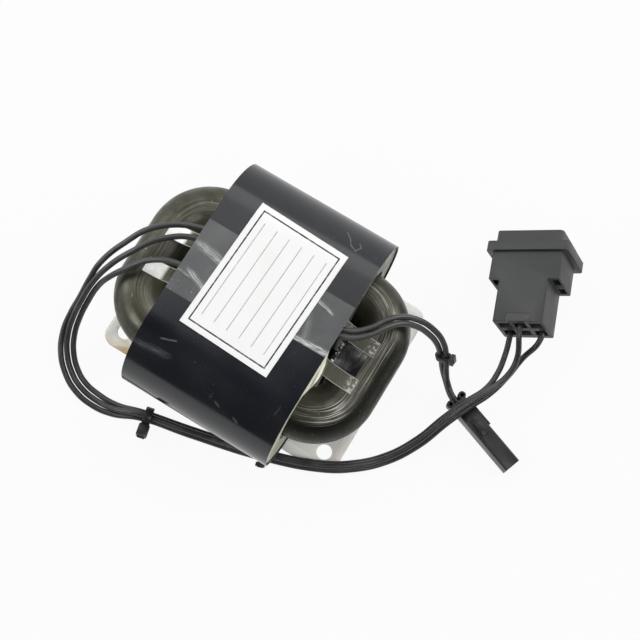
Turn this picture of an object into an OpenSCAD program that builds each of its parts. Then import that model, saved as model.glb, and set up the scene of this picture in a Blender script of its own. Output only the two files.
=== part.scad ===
// Control transformer on a round-section strip core, with plug-ended leads.
// The origin is at the centre of the base plate's underside. +X runs along the
// coils, +Y across them and +Z up. All lengths are in millimetres.

/* [Core] */
// Diameter of the round core section
core_d = 17; // [13:0.5:21]
// Mean radius of the core's four corners
core_corner_r = 11.5; // [11:0.25:13]
// Strip turns that show across the section
core_turns = 14; // [8:2:20]
// Depth of the groove between two turns
turn_groove = 0.08; // [0.04:0.02:0.2]
// Depth of the flat on the innermost and outermost turns
turn_flat = 0.3; // [0.1:0.05:0.5]

/* [Formers] */
// Length of a former over its flanges
former_length = 49; // [48:0.2:60]
// Wall of the former tube
former_wall = 1.2; // [0.8:0.1:2]
// Thickness of a former flange
flange_t = 1.4; // [1:0.1:2.2]
// Radial play of the core leg in the former
leg_play = 0.3; // [0.2:0.05:0.6]
// How much wider the former's bore is at its mouths
mouth_flare = 0.8; // [0.7:0.05:1]
// Gap between a flange and the yoke beside it
yoke_gap = 2.5; // [1.5:0.1:4]

/* [Coils] */
// Radial build of the inner, primary winding
primary_build = 3.35; // [2:0.05:5]
// Thickness of the insulation between the windings
insulation_t = 0.3; // [0.2:0.05:0.8]
// Radial build of the outer, secondary winding
secondary_build = 3.4; // [2:0.05:5]
// Thickness of the tape round each coil
coil_tape_t = 0.75; // [0.3:0.05:1.2]
// Gap between the two taped coils
coil_gap = 4; // [4:0.5:10]

/* [Wrap] */
// Length of the black wrap along the coils
wrap_length = 50; // [40:0.5:51]
// Thickness of the wrap
wrap_t = 0.45; // [0.3:0.05:1]

/* [Base] */
// Length of the base plate
plate_length = 84; // [80:1:110]
// Width of the base plate
plate_width = 60; // [56:1:76]
// Thickness of the base plate
plate_t = 1.2; // [0.8:0.1:2]
// Corner radius of the base plate
plate_corner_r = 4; // [1:0.5:6]
// Distance of a fixing hole's middle from the plate's end
hole_inset_x = 5.5; // [4.5:0.5:7]
// Distance of a fixing hole's middle from the plate's long edge
hole_inset_y = 6; // [4.5:0.5:9]
// Diameter of a fixing hole
hole_d = 4.8; // [3.2:0.1:5.4]
// Thickness of the pad that bonds the wrap to the plate
pad_t = 0.3; // [0.2:0.05:1]
// Width of the bonding pad
pad_width = 36; // [20:1:40]

/* [Label and tapes] */
// Width of the label along the coils
label_w = 30; // [20:0.5:40]
// Length of the label across the coils
label_l = 42.5; // [20:0.5:44]
// Thickness of the label
label_t = 0.15; // [0.1:0.05:0.4]
// Turn of the label, in degrees
label_turn = -2.5; // [-5:0.5:5]
// Thickness of the clear tape and film
film_t = 0.15; // [0.1:0.05:0.3]
// Width of the clear tape at the left end
left_tape_w = 24; // [12:0.5:28]
// Width of the clear tape at the right end
right_tape_w = 17; // [10:0.5:24]
// Width of a film strip
strip_w = 4.8; // [3:0.1:6]
// Distance of a film strip's middle from the middle of the coils
strip_y = 6.3; // [5:0.1:8]
// Width of the black tape tab
exit_tape_w = 7.2; // [4:0.2:7.4]

/* [Leads] */
// Outside diameter of a lead
lead_d = 1.8; // [1.5:0.1:2]
// Gap between two leads that run side by side
lead_gap = 0.2; // [0.2:0.05:0.4]
// Width of the large cable tie's band
tie_w = 2.5; // [1.8:0.1:3.6]
// Thickness of the large cable tie's band
tie_t = 0.8; // [0.5:0.1:0.9]
// Width of a slim cable tie's band
slim_tie_w = 1.8; // [1.2:0.1:2.4]
// Thickness of a slim cable tie's band
slim_tie_t = 0.5; // [0.4:0.1:0.8]
// Play between a cable tie and its leads
tie_play = 0.25; // [0.25:0.05:0.4]
// Length of the cut tail that stands out of a cable tie's head
tie_stub = 0.6; // [0.2:0.1:1.5]

/* [Main plug] */
// Width of the plug body at its tail
plug_w = 15.6; // [14.6:0.2:18]
// Height of the plug body at its tail
plug_h = 13; // [11.6:0.2:16]
// Length of the tail, up to the ears
tail_l = 14; // [10:0.5:20]
// Width over the two side ears
ear_span = 22.4; // [20.4:0.2:24]
// Length of the ears
ear_l = 9; // [7:0.5:12]
// Width of the panel flange
flange_w = 26; // [24.4:0.2:32]
// Thickness of the panel flange
flange_l = 3.1; // [2:0.1:5]
// Step of the flange above the body's top
flange_rise = 1.3; // [0.6:0.1:3]
// Step of the flange below the body's underside
flange_drop = 3; // [0.6:0.1:4]
// Width of the shroud in front of the flange
shroud_w = 21; // [18:0.2:24]
// Length of the shroud in front of the flange
shroud_l = 3.8; // [2:0.1:8]
// Wall round the mating socket
shroud_wall = 1.4; // [1:0.1:1.8]
// Pitch of the contact cavities
cavity_pitch = 4.9; // [4.4:0.1:5]
// Pitch of the two rows of cavities
row_pitch = 5.6; // [5:0.1:6]
// Width of a contact cavity
cavity_w = 3.6; // [3:0.1:4]

/* [Small plug] */
// Width of the small plug
small_w = 5.2; // [4.6:0.1:7]
// Height of the small plug
small_h = 7.5; // [7:0.1:8]
// Length of the small plug
small_l = 25.5; // [24:0.5:32]
// Width of a cavity of the small plug
small_cavity_w = 2.5; // [2.3:0.1:2.7]
// Pitch of the two circuits, one above the other
circuit_pitch = 3; // [2.9:0.1:3.4]
// Outside diameter of an eye at the small plug's rear
eye_d = 2.4; // [1.8:0.1:2.6]
// Diameter of the hole in an eye
eye_bore = 1.2; // [0.6:0.1:1.3]

/* [Hidden] */
$fn = 48;
// Gap between two layers or faces that touch in the real object
fit = 0.05;
// Gap between the two halves of a former
split_gap = 0.1;
// Length over which the former's bore opens at each mouth
flare_l = 2.5;

former_bore_r = core_d / 2 + leg_play;
former_tube_r = former_bore_r + former_wall;
primary_r = former_tube_r + fit;
insulation_r = primary_r + primary_build + fit;
secondary_r = insulation_r + insulation_t + fit;
coil_tape_r = secondary_r + secondary_build + fit;
coil_r = coil_tape_r + coil_tape_t;
wrap_r = coil_r + fit;
wrap_outer_r = wrap_r + wrap_t;
winding_l = former_length - 2 * (flange_t + fit);

leg_y = coil_r + coil_gap / 2;
yoke_x = former_length / 2 + yoke_gap + core_d / 2;
core_z = plate_t + pad_t + wrap_outer_r;
wrap_top = core_z + wrap_outer_r;
crown_z = core_z + core_d / 2 + fit;

hole_spacing_x = plate_length - 2 * hole_inset_x;
hole_spacing_y = plate_width - 2 * hole_inset_y;

label_x = -0.3;
label_y = 3.3;
// Distance of the bonding pad's ends from the wrap's
pad_inset = 2;
tape_l = 12;
left_tape_y = 1;
right_tape_y = 3.5;
strip_end = 0.5;
// Half the width of the groove between two turns
groove_half_w = 0.15;
sweep_sides = 8;

// Where the leads leave the wrap, chosen by eye like the rest of their run
lead_1_out = [[-14, 10, 36.9], [-26, 9.5, 36.9], [-38, 2.9, 35.8], [-44.1, -5.1, 31.9],
    [-48.3, -12.9, 26.6]];
lead_2_out = [[-14, 6, 36.9], [-26, 6, 36.9], [-34.2, 1.1, 36], [-40.6, -6.3, 32.8],
    [-45.5, -13.3, 27.6]];
lead_3_out = [[-14, -3, 36.9], [-26, -3, 36.9], [-34, -5.8, 34.5], [-39.4, -10.7, 30.8],
    [-43.8, -15.5, 26.4]];
// The loop down to the ground: the middle lead, then how far the two beside it droop in degrees
loop = [[-48, -19.1, 22.8, 30], [-49.1, -24.8, 18, 43], [-49.6, -29.9, 13.5, 35],
    [-49.1, -34.6, 9.7, 22], [-47, -39.3, 6.7, 9], [-43, -43.6, 4.1, 6],
    [-38.6, -46, 2.6, 6], [-32.7, -47, 1.7, 11], [-26.2, -46.5, 2.5, 37]];
// The middle of the tied loom
loom = [[-17.5, -43.7, 3.6], [-2, -40.2, 1.7], [21, -34.7, 3], [38, -28.5, 3],
    [45.5, -24, 2.7], [53.5, -16.5, 2.2], [59.5, -7.5, 6], [63.5, 2.5, 9.6],
    [66.7, 9.8, 10.2], [70, 16.5, 11]];
lead_1_end = [[72.9, 23.5, 10.6], [73.9, 30, 12]];
lead_2_end = [[72.6, 23, 13], [72.6, 28.3, 15.2]];
lead_3_end = [[69.8, 22.4, 10.8], [69, 28.5, 11.4]];
// The secondary pair: the middle of the pair, then its turn in degrees
pair = [[14, 3.3, 36.9, 0], [26, 4.2, 36.9, 0], [32.2, 8.9, 36.3, 0], [34.5, 13, 35, 0],
    [37.4, 16.8, 32.7, 5], [41.7, 19.5, 28.8, 12], [46.5, 20.5, 24, 22],
    [50.5, 19.9, 19.3, 33], [53.3, 17.8, 14.6, 48], [55.3, 15.6, 9.8, 68], [57.6, 13.6, 6, 85]];
// The point of the pair's run that its tie sits on
pair_tie_at = 8;

// Where the main plug lies: its tail's middle in plan, and its turn about X, Y and Z
plug_place = [69.6, 37];
plug_turn = [-9, -26, 24];
// Where the small plug lies: its rear end in plan, and its heading
small_place = [63.8, 9.8];
small_turn = -109.5;
// How far a lead reaches into its cavity
lead_seat = 3;
// A lead is straight for this far in front of its plug
lead_straight = 2;
plug_edge_r = 0.6;
flange_corner_r = 2 * plug_edge_r;
// How far the mating socket runs in behind the flange
socket_reach = 6;
socket_l = shroud_l + flange_l + socket_reach;
// A slot in an ear's rear face: its width, depth and height
ear_slot = [2, 5, 3.6];
contact_l = 12;
contact_play = 0.2;
small_contact_l = 14;
small_contact_play = 0.15;
small_socket_l = 7;
small_wall = 0.8;
small_edge_r = 0.5;
small_socket_r = 0.3;
// The rib on the small plug's side: its size, its distance from the rear end and from the top
small_rib = [0.7, 8, 4];
small_rib_y = 3.5;
small_rib_drop = 0.5;
flange_h = plug_h + flange_rise + flange_drop;
flange_mid_z = (flange_rise - flange_drop) / 2;
// Step from the flange to the shroud, above and below
shroud_step = 0.8;
shroud_h = flange_h - 2 * shroud_step;
retainer_size = [7.4, 2.6, 0.9];
retainer_fin = [0.7, 2, 3.6];
// The two kinds of cable tie: the band's width and thickness, the head's height, width and
// length, and the length of the cut tail
large_tie = [tie_w, tie_t, 3.6, 4, 3.4, tie_stub];
slim_tie = [slim_tie_w, slim_tie_t, 1.3, 2.6, 2.8, tie_stub / 3];
// Length and depth of the step down at the small plug's rear
small_step = [6.5, 0.4];
// The small plug's latch: its arm, the pad at the arm's end and the nib at its start
latch_arm = [2.4, 6.2, 0.5];
latch_y = 6.8;
latch_pad = [2.4, 4.2, 0.7];
latch_nib = [1.1, 0.9, 0.6];
// How far an eye of the small plug is sunk in the rear end, its height and floor, its distance
// from the plug's top and its play beside a lead
eye_root = 0.5;
eye_h = 4;
eye_floor = 1;
eye_drop = 0.6;
eye_play = 0.15;

// Vectors

function unit(v) = v / norm(v);

function turn_x(a, p) = [p[0], p[1] * cos(a) - p[2] * sin(a), p[1] * sin(a) + p[2] * cos(a)];

function turn_y(a, p) = [p[0] * cos(a) + p[2] * sin(a), p[1], p[2] * cos(a) - p[0] * sin(a)];

function turn_z(a, p) = [p[0] * cos(a) - p[1] * sin(a), p[0] * sin(a) + p[1] * cos(a), p[2]];

function turned(a, p) = turn_z(a[2], turn_y(a[1], turn_x(a[0], p)));

function level_side(t) = unit(cross([0, 0, 1], t));

function tangent(points, i) =
    unit(points[min(i + 1, len(points) - 1)] - points[max(i - 1, 0)]);

function place_of(p) = [p[0], p[1], p[2]];

// Outlines

function arc(middle, r, from, steps = 5) =
    [for (i = [0 : steps]) middle + r * [cos(from + 90 * i / steps), sin(from + 90 * i / steps)]];

function rounded_rect(w, h, r) = concat(
    arc([w / 2 - r, h / 2 - r], r, 0),
    arc([r - w / 2, h / 2 - r], r, 90),
    arc([r - w / 2, r - h / 2], r, 180),
    arc([w / 2 - r, r - h / 2], r, 270));

// Half the height of the round core section at a distance from its middle
function core_half_h(u) = sqrt(pow(core_d / 2, 2) - u * u);

// The core section: a round outline with a groove between each two strip turns
function core_upper_edge() = let (
        edge = core_d / 2 - turn_flat,
        turn_t = 2 * edge / core_turns)
    concat(
        [[-edge, core_half_h(edge)]],
        [for (j = [1 : core_turns - 1], k = [-1 : 1]) let (u = -edge + j * turn_t + k * groove_half_w)
            [u, core_half_h(u) - (k == 0 ? turn_groove : 0)]],
        [[edge, core_half_h(edge)]]);

function mirrored_down(edge) =
    concat(edge, [for (i = [len(edge) - 1 : -1 : 0]) [edge[i][0], -edge[i][1]]]);

// Leads

// A point beside a route, at an angle round it: 0 is level on its left, 90 is above it
function beside(points, i, r, angle) = let (
        t = tangent(points, i),
        side = level_side(t))
    points[i] + r * (cos(angle) * side + sin(angle) * cross(t, side));

function ring(points, i, d) = [for (k = [0 : sweep_sides - 1])
    beside(points, i, d / 2, 360 * (k + 0.5) / sweep_sides)];

function wall_faces(rings) = [for (i = [0 : rings - 2], k = [0 : sweep_sides - 1]) let (
        a = i * sweep_sides + k,
        b = i * sweep_sides + (k + 1) % sweep_sides)
    each [[a, a + sweep_sides, b], [b, a + sweep_sides, b + sweep_sides]]];

function cap_faces(rings) = let (last = (rings - 1) * sweep_sides) [
    [for (k = [0 : sweep_sides - 1]) k],
    [for (k = [sweep_sides - 1 : -1 : 0]) last + k]];

module swept_lead(points) {
    polyhedron(
        points = [for (i = [0 : len(points) - 1]) each ring(points, i, lead_d)],
        faces = concat(wall_faces(len(points)), cap_faces(len(points))));
}

// Distance of a lead's middle from the middle of the loom of three
loom_r = (lead_d + lead_gap) / sqrt(3);
loom_outer_r = loom_r + lead_d / 2;
pair_r = (lead_d + lead_gap) / 2;
pair_middle = [for (p = pair) place_of(p)];
loop_middle = [for (p = loop) place_of(p)];

// A lead of the loop: the middle one for side 0, the one outside it for 1 and inside it for -1
function loop_lead(side) = side == 0 ? loop_middle : [for (i = [0 : len(loop) - 1])
    beside(loop_middle, i, lead_d + lead_gap, side == 1 ? 180 + loop[i][3] : -loop[i][3])];

function loom_lead(angle) = [for (i = [0 : len(loom) - 1]) beside(loom, i, loom_r, angle)];

function pair_lead(angle) =
    [for (i = [0 : len(pair) - 1]) beside(pair_middle, i, pair_r, pair[i][3] + angle)];

// Height of the main plug's tail, with the flange's rounded low corner on the ground
plug_slant = norm([turned(plug_turn, [1, 0, 0])[2], turned(plug_turn, [0, 0, 1])[2]]);
plug_rest = flange_corner_r * plug_slant - min([for (y = [tail_l + ear_l, tail_l + ear_l + flange_l])
    turned(plug_turn, [flange_corner_r - flange_w / 2, y,
        flange_corner_r - plug_h / 2 - flange_drop])[2]]);

function at_main_plug(p) =
    [plug_place[0], plug_place[1], plug_rest] + turned(plug_turn, p);

function at_small_plug(p) = [small_place[0], small_place[1], 0] + turn_z(small_turn, p);

// The cavities in use: column and row
main_cavities = [[1, -1], [0, 1], [-1, -1]];

function main_cavity(i, y) =
    [main_cavities[i][0] * cavity_pitch, y, main_cavities[i][1] * row_pitch / 2];

function small_cavity(i, y) = [0, y, small_h / 2 + (i == 0 ? 1 : -1) * circuit_pitch / 2];

function into_main_plug(i) =
    [at_main_plug(main_cavity(i, -lead_straight)), at_main_plug(main_cavity(i, lead_seat))];

function into_small_plug(i) =
    [at_small_plug(small_cavity(i, -lead_straight)), at_small_plug(small_cavity(i, lead_seat))];

module on_main_plug() {
    translate([plug_place[0], plug_place[1], plug_rest]) rotate(plug_turn) children();
}

module on_small_plug() {
    translate([small_place[0], small_place[1], 0]) rotate(small_turn) children();
}

// Core and coils

module core() {
    section = mirrored_down(core_upper_edge());
    straight_x = yoke_x - core_corner_r;
    straight_y = leg_y - core_corner_r;
    color("#55554b") translate([0, 0, core_z]) {
        for (side = [-1, 1]) {
            translate([0, side * leg_y, 0])
                rotate([90, 0, 90]) linear_extrude(2 * straight_x, center = true) polygon(section);
            translate([side * yoke_x, 0, 0])
                rotate([90, 0, 0]) linear_extrude(2 * straight_y, center = true) polygon(section);
        }
        for (quarter = [0 : 3]) {
            across = quarter == 0 || quarter == 3 ? 1 : -1;
            along = quarter < 2 ? 1 : -1;
            translate([across * straight_x, along * straight_y, 0])
                rotate(90 * quarter)
                    rotate_extrude(angle = 90) translate([core_corner_r, 0]) polygon(section);
        }
    }
}

// A round sleeve on one leg
module sleeve(y, inner_r, wall, length) {
    translate([0, y, core_z]) rotate([0, 90, 0])
        rotate_extrude() translate([inner_r, -length / 2]) square([wall, length]);
}

module former_body() {
    half = former_length / 2;
    mouth_r = former_bore_r + mouth_flare;
    rotate([0, 90, 0]) rotate_extrude() polygon([
        [mouth_r, -half], [coil_r, -half], [coil_r, flange_t - half],
        [former_tube_r, flange_t - half], [former_tube_r, half - flange_t],
        [coil_r, half - flange_t], [coil_r, half], [mouth_r, half],
        [former_bore_r, half - flare_l], [former_bore_r, flare_l - half]]);
}

// One half of a former; side is 1 for the upper half and -1 for the lower
module former_half(y, side) {
    box = [former_length + 2, 2 * coil_r + 2, coil_r + 1];
    color("#d6d3b8") translate([0, y, core_z]) intersection() {
        former_body();
        translate([0, 0, side * (box[2] + split_gap) / 2]) cube(box, center = true);
    }
}

module primary_winding(y) {
    color("#a8642e") sleeve(y, primary_r, primary_build, winding_l);
}

module layer_insulation(y) {
    color("#d9cf9c") sleeve(y, insulation_r, insulation_t, winding_l);
}

module secondary_winding(y) {
    color("#b06a30") sleeve(y, secondary_r, secondary_build, winding_l);
}

module coil_tape(y) {
    color("#d8cf8e") sleeve(y, coil_tape_r, coil_tape_t, winding_l);
}

// A skin round both coils: a half tube round each and a flat span above and below
module skin(inner_r, wall) {
    translate([0, 0, core_z]) for (side = [0, 1]) mirror([0, side, 0]) {
        translate([0, leg_y, 0]) rotate([0, 90, 0])
            rotate_extrude(angle = 180)
                translate([inner_r, -wrap_length / 2]) square([wall, wrap_length]);
        translate([-wrap_length / 2, -leg_y, side == 0 ? inner_r : -inner_r - wall])
            cube([wrap_length, 2 * leg_y, wall]);
    }
}

module outer_wrap() {
    color("#1c1f26") skin(wrap_r, wrap_t);
}

// Base

module base_plate() {
    color("#d8c98c") difference() {
        linear_extrude(plate_t) polygon(rounded_rect(plate_length, plate_width, plate_corner_r));
        for (x = [-1, 1], y = [-1, 1])
            translate([x * hole_spacing_x / 2, y * hole_spacing_y / 2, -1])
                cylinder(h = plate_t + 2, d = hole_d);
    }
}

module bond_pad() {
    length = wrap_length - 2 * pad_inset;
    color("#b9b4a0") translate([-length / 2, -pad_width / 2, plate_t])
        cube([length, pad_width, pad_t]);
}

// Label and tapes

// The label follows the wrap where its far end runs onto the rear coil
module rating_label() {
    color("#f2f2f0") intersection() {
        skin(wrap_outer_r + film_t, label_t);
        translate([label_x, label_y, core_z]) rotate(label_turn)
            translate([-label_w / 2, -label_l / 2, 0]) cube([label_w, label_l, 2 * wrap_outer_r]);
    }
}

// Clear tape from the wrap's end in under the label; side is -1 at the left end
module lead_tape(side, y, w) {
    color("#9aa0a3") translate([side * (wrap_length - tape_l) / 2, y, wrap_top + film_t / 2])
        cube([tape_l, w, film_t], center = true);
}

// A film strip along a coil's shoulder, its ends lowered onto the yokes
module film_strip(side) {
    steps = 6;
    edge_y = leg_y - strip_y - strip_w / 2;
    shoulder_z = core_z + sqrt(pow(coil_r, 2) - pow(edge_y, 2)) + fit;
    from_x = former_length / 2 + fit;
    run = yoke_x + strip_end - from_x;
    half = [for (i = [0 : steps])
        [from_x + run * i / steps, crown_z + (shoulder_z - crown_z) * pow(1 - i / steps, 2)]];
    lower = concat([for (i = [steps : -1 : 0]) [-half[i][0], half[i][1]]], half);
    upper = [for (i = [len(lower) - 1 : -1 : 0]) lower[i] + [0, film_t]];
    color("#b8bcb8") translate([0, side * strip_y + strip_w / 2, 0])
        rotate([90, 0, 0]) linear_extrude(strip_w) polygon(concat(lower, upper));
}

// Black tape tab that slopes from the coil ends to the right yoke, cut in a zigzag
module exit_tape() {
    teeth = 9;
    tooth_l = 0.6;
    flange_clear = 2;
    crown_short = 0.9;
    rise = 2.8;
    top_x = former_length / 2 + flange_clear;
    run = yoke_x - crown_short - top_x;
    slope_l = norm([run, rise]);
    zigzag = [for (i = [0 : 2 * teeth])
        [i % 2 == 0 ? 0 : -tooth_l, exit_tape_w * (i / (2 * teeth) - 0.5)]];
    color("#202225") translate([top_x, 0, crown_z + rise])
        rotate([0, atan2(rise, run), 0]) linear_extrude(film_t)
            polygon(concat([[slope_l, exit_tape_w / 2], [slope_l, -exit_tape_w / 2]], zigzag));
}

// Leads and ties

module primary_lead(i, out, side, angle, end) {
    color("#37383a")
        swept_lead(concat(out, loop_lead(side), loom_lead(angle), end, into_main_plug(i)));
}

module secondary_lead(i, angle) {
    color("#37383a") swept_lead(concat(pair_lead(angle), into_small_plug(i)));
}

// The band of a cable tie: round, or drawn out by spread to each side along X
module tie_band(inner_r, spread, w, t) {
    for (side = [0, 180]) rotate(side) {
        translate([spread, 0, 0]) rotate(-90)
            rotate_extrude(angle = 180) translate([inner_r, -w / 2]) square([t, w]);
        if (spread > 0) translate([-spread, inner_r, -w / 2]) cube([2 * spread, t, w]);
    }
}

// A cable tie round leads of a given outer radius, a little along from a point of their route,
// with its head at an angle round them and its cut tail standing out of the head
module cable_tie(tie, points, i, leads_r, head_angle, along = 0, spread = 0) {
    inner_r = leads_r + tie_play;
    t = tangent(points, i);
    color("#1e1f20") translate(points[i] + along * t)
        rotate([0, 90 - asin(t[2]), atan2(t[1], t[0])]) rotate(head_angle) {
            tie_band(inner_r, spread, tie[0], tie[1]);
            translate([spread + inner_r + tie[1] / 2, 0, -tie[4] / 2]) {
                translate([0, -tie[3] / 2, 0]) cube([tie[2], tie[3], tie[4]]);
                translate([tie[2] - fit, 0, (tie[4] - tie[0]) / 2])
                    cube([tie[5] + fit, tie[1], tie[0]]);
            }
        }
}

// Main plug

// A bar along +Y with rounded edges, from y0 to y1
module bar(w, h, r, y0, y1) {
    translate([0, y0, 0]) rotate([-90, 0, 0]) linear_extrude(y1 - y0) polygon(rounded_rect(w, h, r));
}

module main_plug_solid() {
    ear_y = tail_l + ear_l;
    bar(plug_w, plug_h, plug_edge_r, 0, ear_y);
    bar(ear_span, plug_h, plug_edge_r, tail_l, ear_y);
    translate([0, 0, flange_mid_z]) {
        bar(flange_w, flange_h, flange_corner_r, ear_y, ear_y + flange_l);
        bar(shroud_w, shroud_h, flange_corner_r, ear_y + flange_l, ear_y + flange_l + shroud_l);
    }
}

module ear_slots() {
    for (x = [-1, 1], z = [-1, 1])
        translate([x * (ear_span + plug_w) / 4, tail_l + ear_slot[1] / 2 - 1, z * plug_h / 4])
            cube([ear_slot[0], ear_slot[1] + 2, ear_slot[2]], center = true);
}

module main_plug_housing() {
    front = tail_l + ear_l + flange_l + shroud_l;
    color("#4b4e4d") on_main_plug() difference() {
        main_plug_solid();
        ear_slots();
        translate([0, 0, flange_mid_z])
            bar(shroud_w - 2 * shroud_wall, shroud_h - 2 * shroud_wall, plug_edge_r,
                front - socket_l, front + 1);
        for (column = [-1 : 1], row = [-1, 1])
            translate([column * cavity_pitch, front / 2, row * row_pitch / 2])
                cube([cavity_w, front + 2, cavity_w], center = true);
        retainer_shape(fit, retainer_size[1]);
    }
}

// The retainer's plate and fins in the top of the tail, grown by play on its sides
module retainer_shape(play, out) {
    size = retainer_size + [2 * play, play, 0];
    translate([-size[0] / 2, -out, plug_h / 2 - size[2]])
        cube([size[0], size[1] + out, size[2] + out]);
    for (side = [-1, 1])
        translate([side * cavity_pitch / 2 - retainer_fin[0] / 2 - play, -out,
            plug_h / 2 - size[2] - retainer_fin[2] - play])
            cube([retainer_fin[0] + 2 * play, retainer_fin[1] + play + out, retainer_fin[2] + 1]);
}

module main_plug_retainer() {
    color("#6a6d6c") on_main_plug() retainer_shape(0, 0);
}

// A crimped contact along +Y from its crimp's mouth
module contact(w, length) {
    crimp_l = length / 3;
    rotate([-90, 0, 0]) cylinder(h = crimp_l, d = lead_d);
    translate([-w / 2, crimp_l, -w / 2]) cube([w, length - crimp_l, w]);
}

module main_plug_contact(i) {
    color("#c9b27a") on_main_plug() translate(main_cavity(i, lead_seat))
        contact(cavity_w - 2 * contact_play, contact_l);
}

// Small plug

module small_plug_latch() {
    translate([-latch_arm[0] / 2, latch_y, small_h - fit]) cube(latch_arm);
    translate([-latch_pad[0] / 2, latch_y + latch_arm[1] - latch_pad[1], small_h + latch_arm[2] - 2 * fit])
        cube(latch_pad);
    translate([-latch_nib[0] / 2, latch_y, small_h + latch_arm[2] - 2 * fit]) cube(latch_nib);
}

// Two upright eyes with blind holes at the rear corners, clear of the leads that pass between them
module small_plug_eyes() {
    for (side = [-1, 1])
        translate([side * (lead_d / 2 + eye_play + eye_d / 2), eye_root - eye_d / 2,
            small_h - eye_h - eye_drop])
            difference() {
                cylinder(h = eye_h, d = eye_d);
                translate([0, 0, eye_floor]) cylinder(h = eye_h, d = eye_bore);
            }
}

module small_plug_housing() {
    color("#242525") on_small_plug() difference() {
        union() {
            translate([0, 0, small_h / 2]) bar(small_w, small_h, small_edge_r, 0, small_l);
            translate([fit - small_w / 2 - small_rib[0], small_rib_y,
                small_h - small_rib[2] - small_rib_drop])
                cube(small_rib);
            small_plug_latch();
            small_plug_eyes();
        }
        translate([-small_w, -1, small_h - small_step[1]])
            cube([2 * small_w, small_step[0] + 1, small_step[1] + 1]);
        for (i = [0, 1]) translate(small_cavity(i, small_l / 2))
            cube([small_cavity_w, small_l + 2, small_cavity_w], center = true);
        translate([0, 0, small_h / 2])
            bar(small_w - 2 * small_wall, small_h - 2 * small_wall, small_socket_r,
                small_l - small_socket_l, small_l + 1);
    }
}

module small_plug_contact(i) {
    color("#c9b27a") on_small_plug() translate(small_cavity(i, lead_seat))
        contact(small_cavity_w - 2 * small_contact_play, small_contact_l);
}

core();
former_half(-leg_y, 1);  // front_former_upper
former_half(-leg_y, -1);  // front_former_lower
former_half(leg_y, 1);  // rear_former_upper
former_half(leg_y, -1);  // rear_former_lower
primary_winding(-leg_y);  // front_primary_winding
primary_winding(leg_y);  // rear_primary_winding
layer_insulation(-leg_y);  // front_layer_insulation
layer_insulation(leg_y);  // rear_layer_insulation
secondary_winding(-leg_y);  // front_secondary_winding
secondary_winding(leg_y);  // rear_secondary_winding
coil_tape(-leg_y);  // front_coil_tape
coil_tape(leg_y);  // rear_coil_tape
outer_wrap();
base_plate();
bond_pad();
rating_label();
lead_tape(-1, left_tape_y, left_tape_w);  // left_lead_tape
lead_tape(1, right_tape_y, right_tape_w);  // right_lead_tape
film_strip(-1);  // front_film_strip
film_strip(1);  // rear_film_strip
exit_tape();
primary_lead(0, lead_1_out, 1, 210, lead_1_end);  // primary_lead_1
primary_lead(1, lead_2_out, 0, 90, lead_2_end);  // primary_lead_2
primary_lead(2, lead_3_out, -1, 330, lead_3_end);  // primary_lead_3
secondary_lead(0, 0);  // secondary_lead_1
secondary_lead(1, 180);  // secondary_lead_2
cable_tie(large_tie, loom, 0, loom_outer_r, 265, 2.2);  // loom_tie_1
cable_tie(slim_tie, loom, 2, loom_outer_r, 275);  // loom_tie_2
cable_tie(slim_tie, pair_middle, pair_tie_at, lead_d / 2, 90 + pair[pair_tie_at][3], 0, pair_r);  // secondary_tie
main_plug_housing();
main_plug_retainer();
main_plug_contact(0);  // main_plug_contact_1
main_plug_contact(1);  // main_plug_contact_2
main_plug_contact(2);  // main_plug_contact_3
small_plug_housing();
small_plug_contact(0);  // small_plug_contact_1
small_plug_contact(1);  // small_plug_contact_2
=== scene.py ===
"""Dress the control transformer: core, coils, wrap, label, tapes, leads, ties and plugs.

Every length is in metres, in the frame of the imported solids: +X runs along the coils, +Y across
them and +Z up, and the origin lies under the middle of the base plate.
"""

from __future__ import annotations

import logging
import math
from collections.abc import Callable, Sequence
from dataclasses import dataclass
from enum import Enum
from functools import reduce

import bmesh
import bpy
from mathutils import Matrix, Vector, noise

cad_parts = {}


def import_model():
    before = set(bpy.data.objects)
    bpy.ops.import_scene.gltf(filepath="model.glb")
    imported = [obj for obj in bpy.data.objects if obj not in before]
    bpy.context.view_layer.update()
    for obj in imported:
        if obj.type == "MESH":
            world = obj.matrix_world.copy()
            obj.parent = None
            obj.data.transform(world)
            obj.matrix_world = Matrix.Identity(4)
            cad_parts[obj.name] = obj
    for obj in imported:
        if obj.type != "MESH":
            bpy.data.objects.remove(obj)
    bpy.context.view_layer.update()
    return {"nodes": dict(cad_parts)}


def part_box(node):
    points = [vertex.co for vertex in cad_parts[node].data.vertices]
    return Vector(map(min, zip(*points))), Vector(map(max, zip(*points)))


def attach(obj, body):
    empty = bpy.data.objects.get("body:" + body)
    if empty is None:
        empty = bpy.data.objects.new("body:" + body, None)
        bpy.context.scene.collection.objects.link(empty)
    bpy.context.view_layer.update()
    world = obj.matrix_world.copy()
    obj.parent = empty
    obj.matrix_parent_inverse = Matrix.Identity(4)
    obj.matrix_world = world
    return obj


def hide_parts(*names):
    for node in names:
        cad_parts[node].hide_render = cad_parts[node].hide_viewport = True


LOG = logging.getLogger("transformer")

MM = 0.001
BODY = "root"
SIDES = ("front", "rear")
UP = Vector((0.0, 0.0, 1.0))
WHITE = (1.0, 1.0, 1.0)
# Points of a solid nearer than this are one
SEAM = 0.001 * MM
# Faces that meet at less than FLAT degrees are one, and edges over SHARP degrees are rounded
FLAT = 0.5
SHARP = 38.0
# From this angle in degrees an edge of a moulding or of a thin sheet isn't shaded smooth
CREASE = 32.0
SHEET_CREASE = 60.0
# Half the width of a thread mark and its soft margin, in millimetres
THREAD = (0.04, 0.22)

Colour = tuple[float, float, float]
Place = tuple[float, float, float]
Point = tuple[float, float]
Cells = tuple[int, int]
Angles = tuple[float, ...]
Names = tuple[str, ...]
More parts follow.
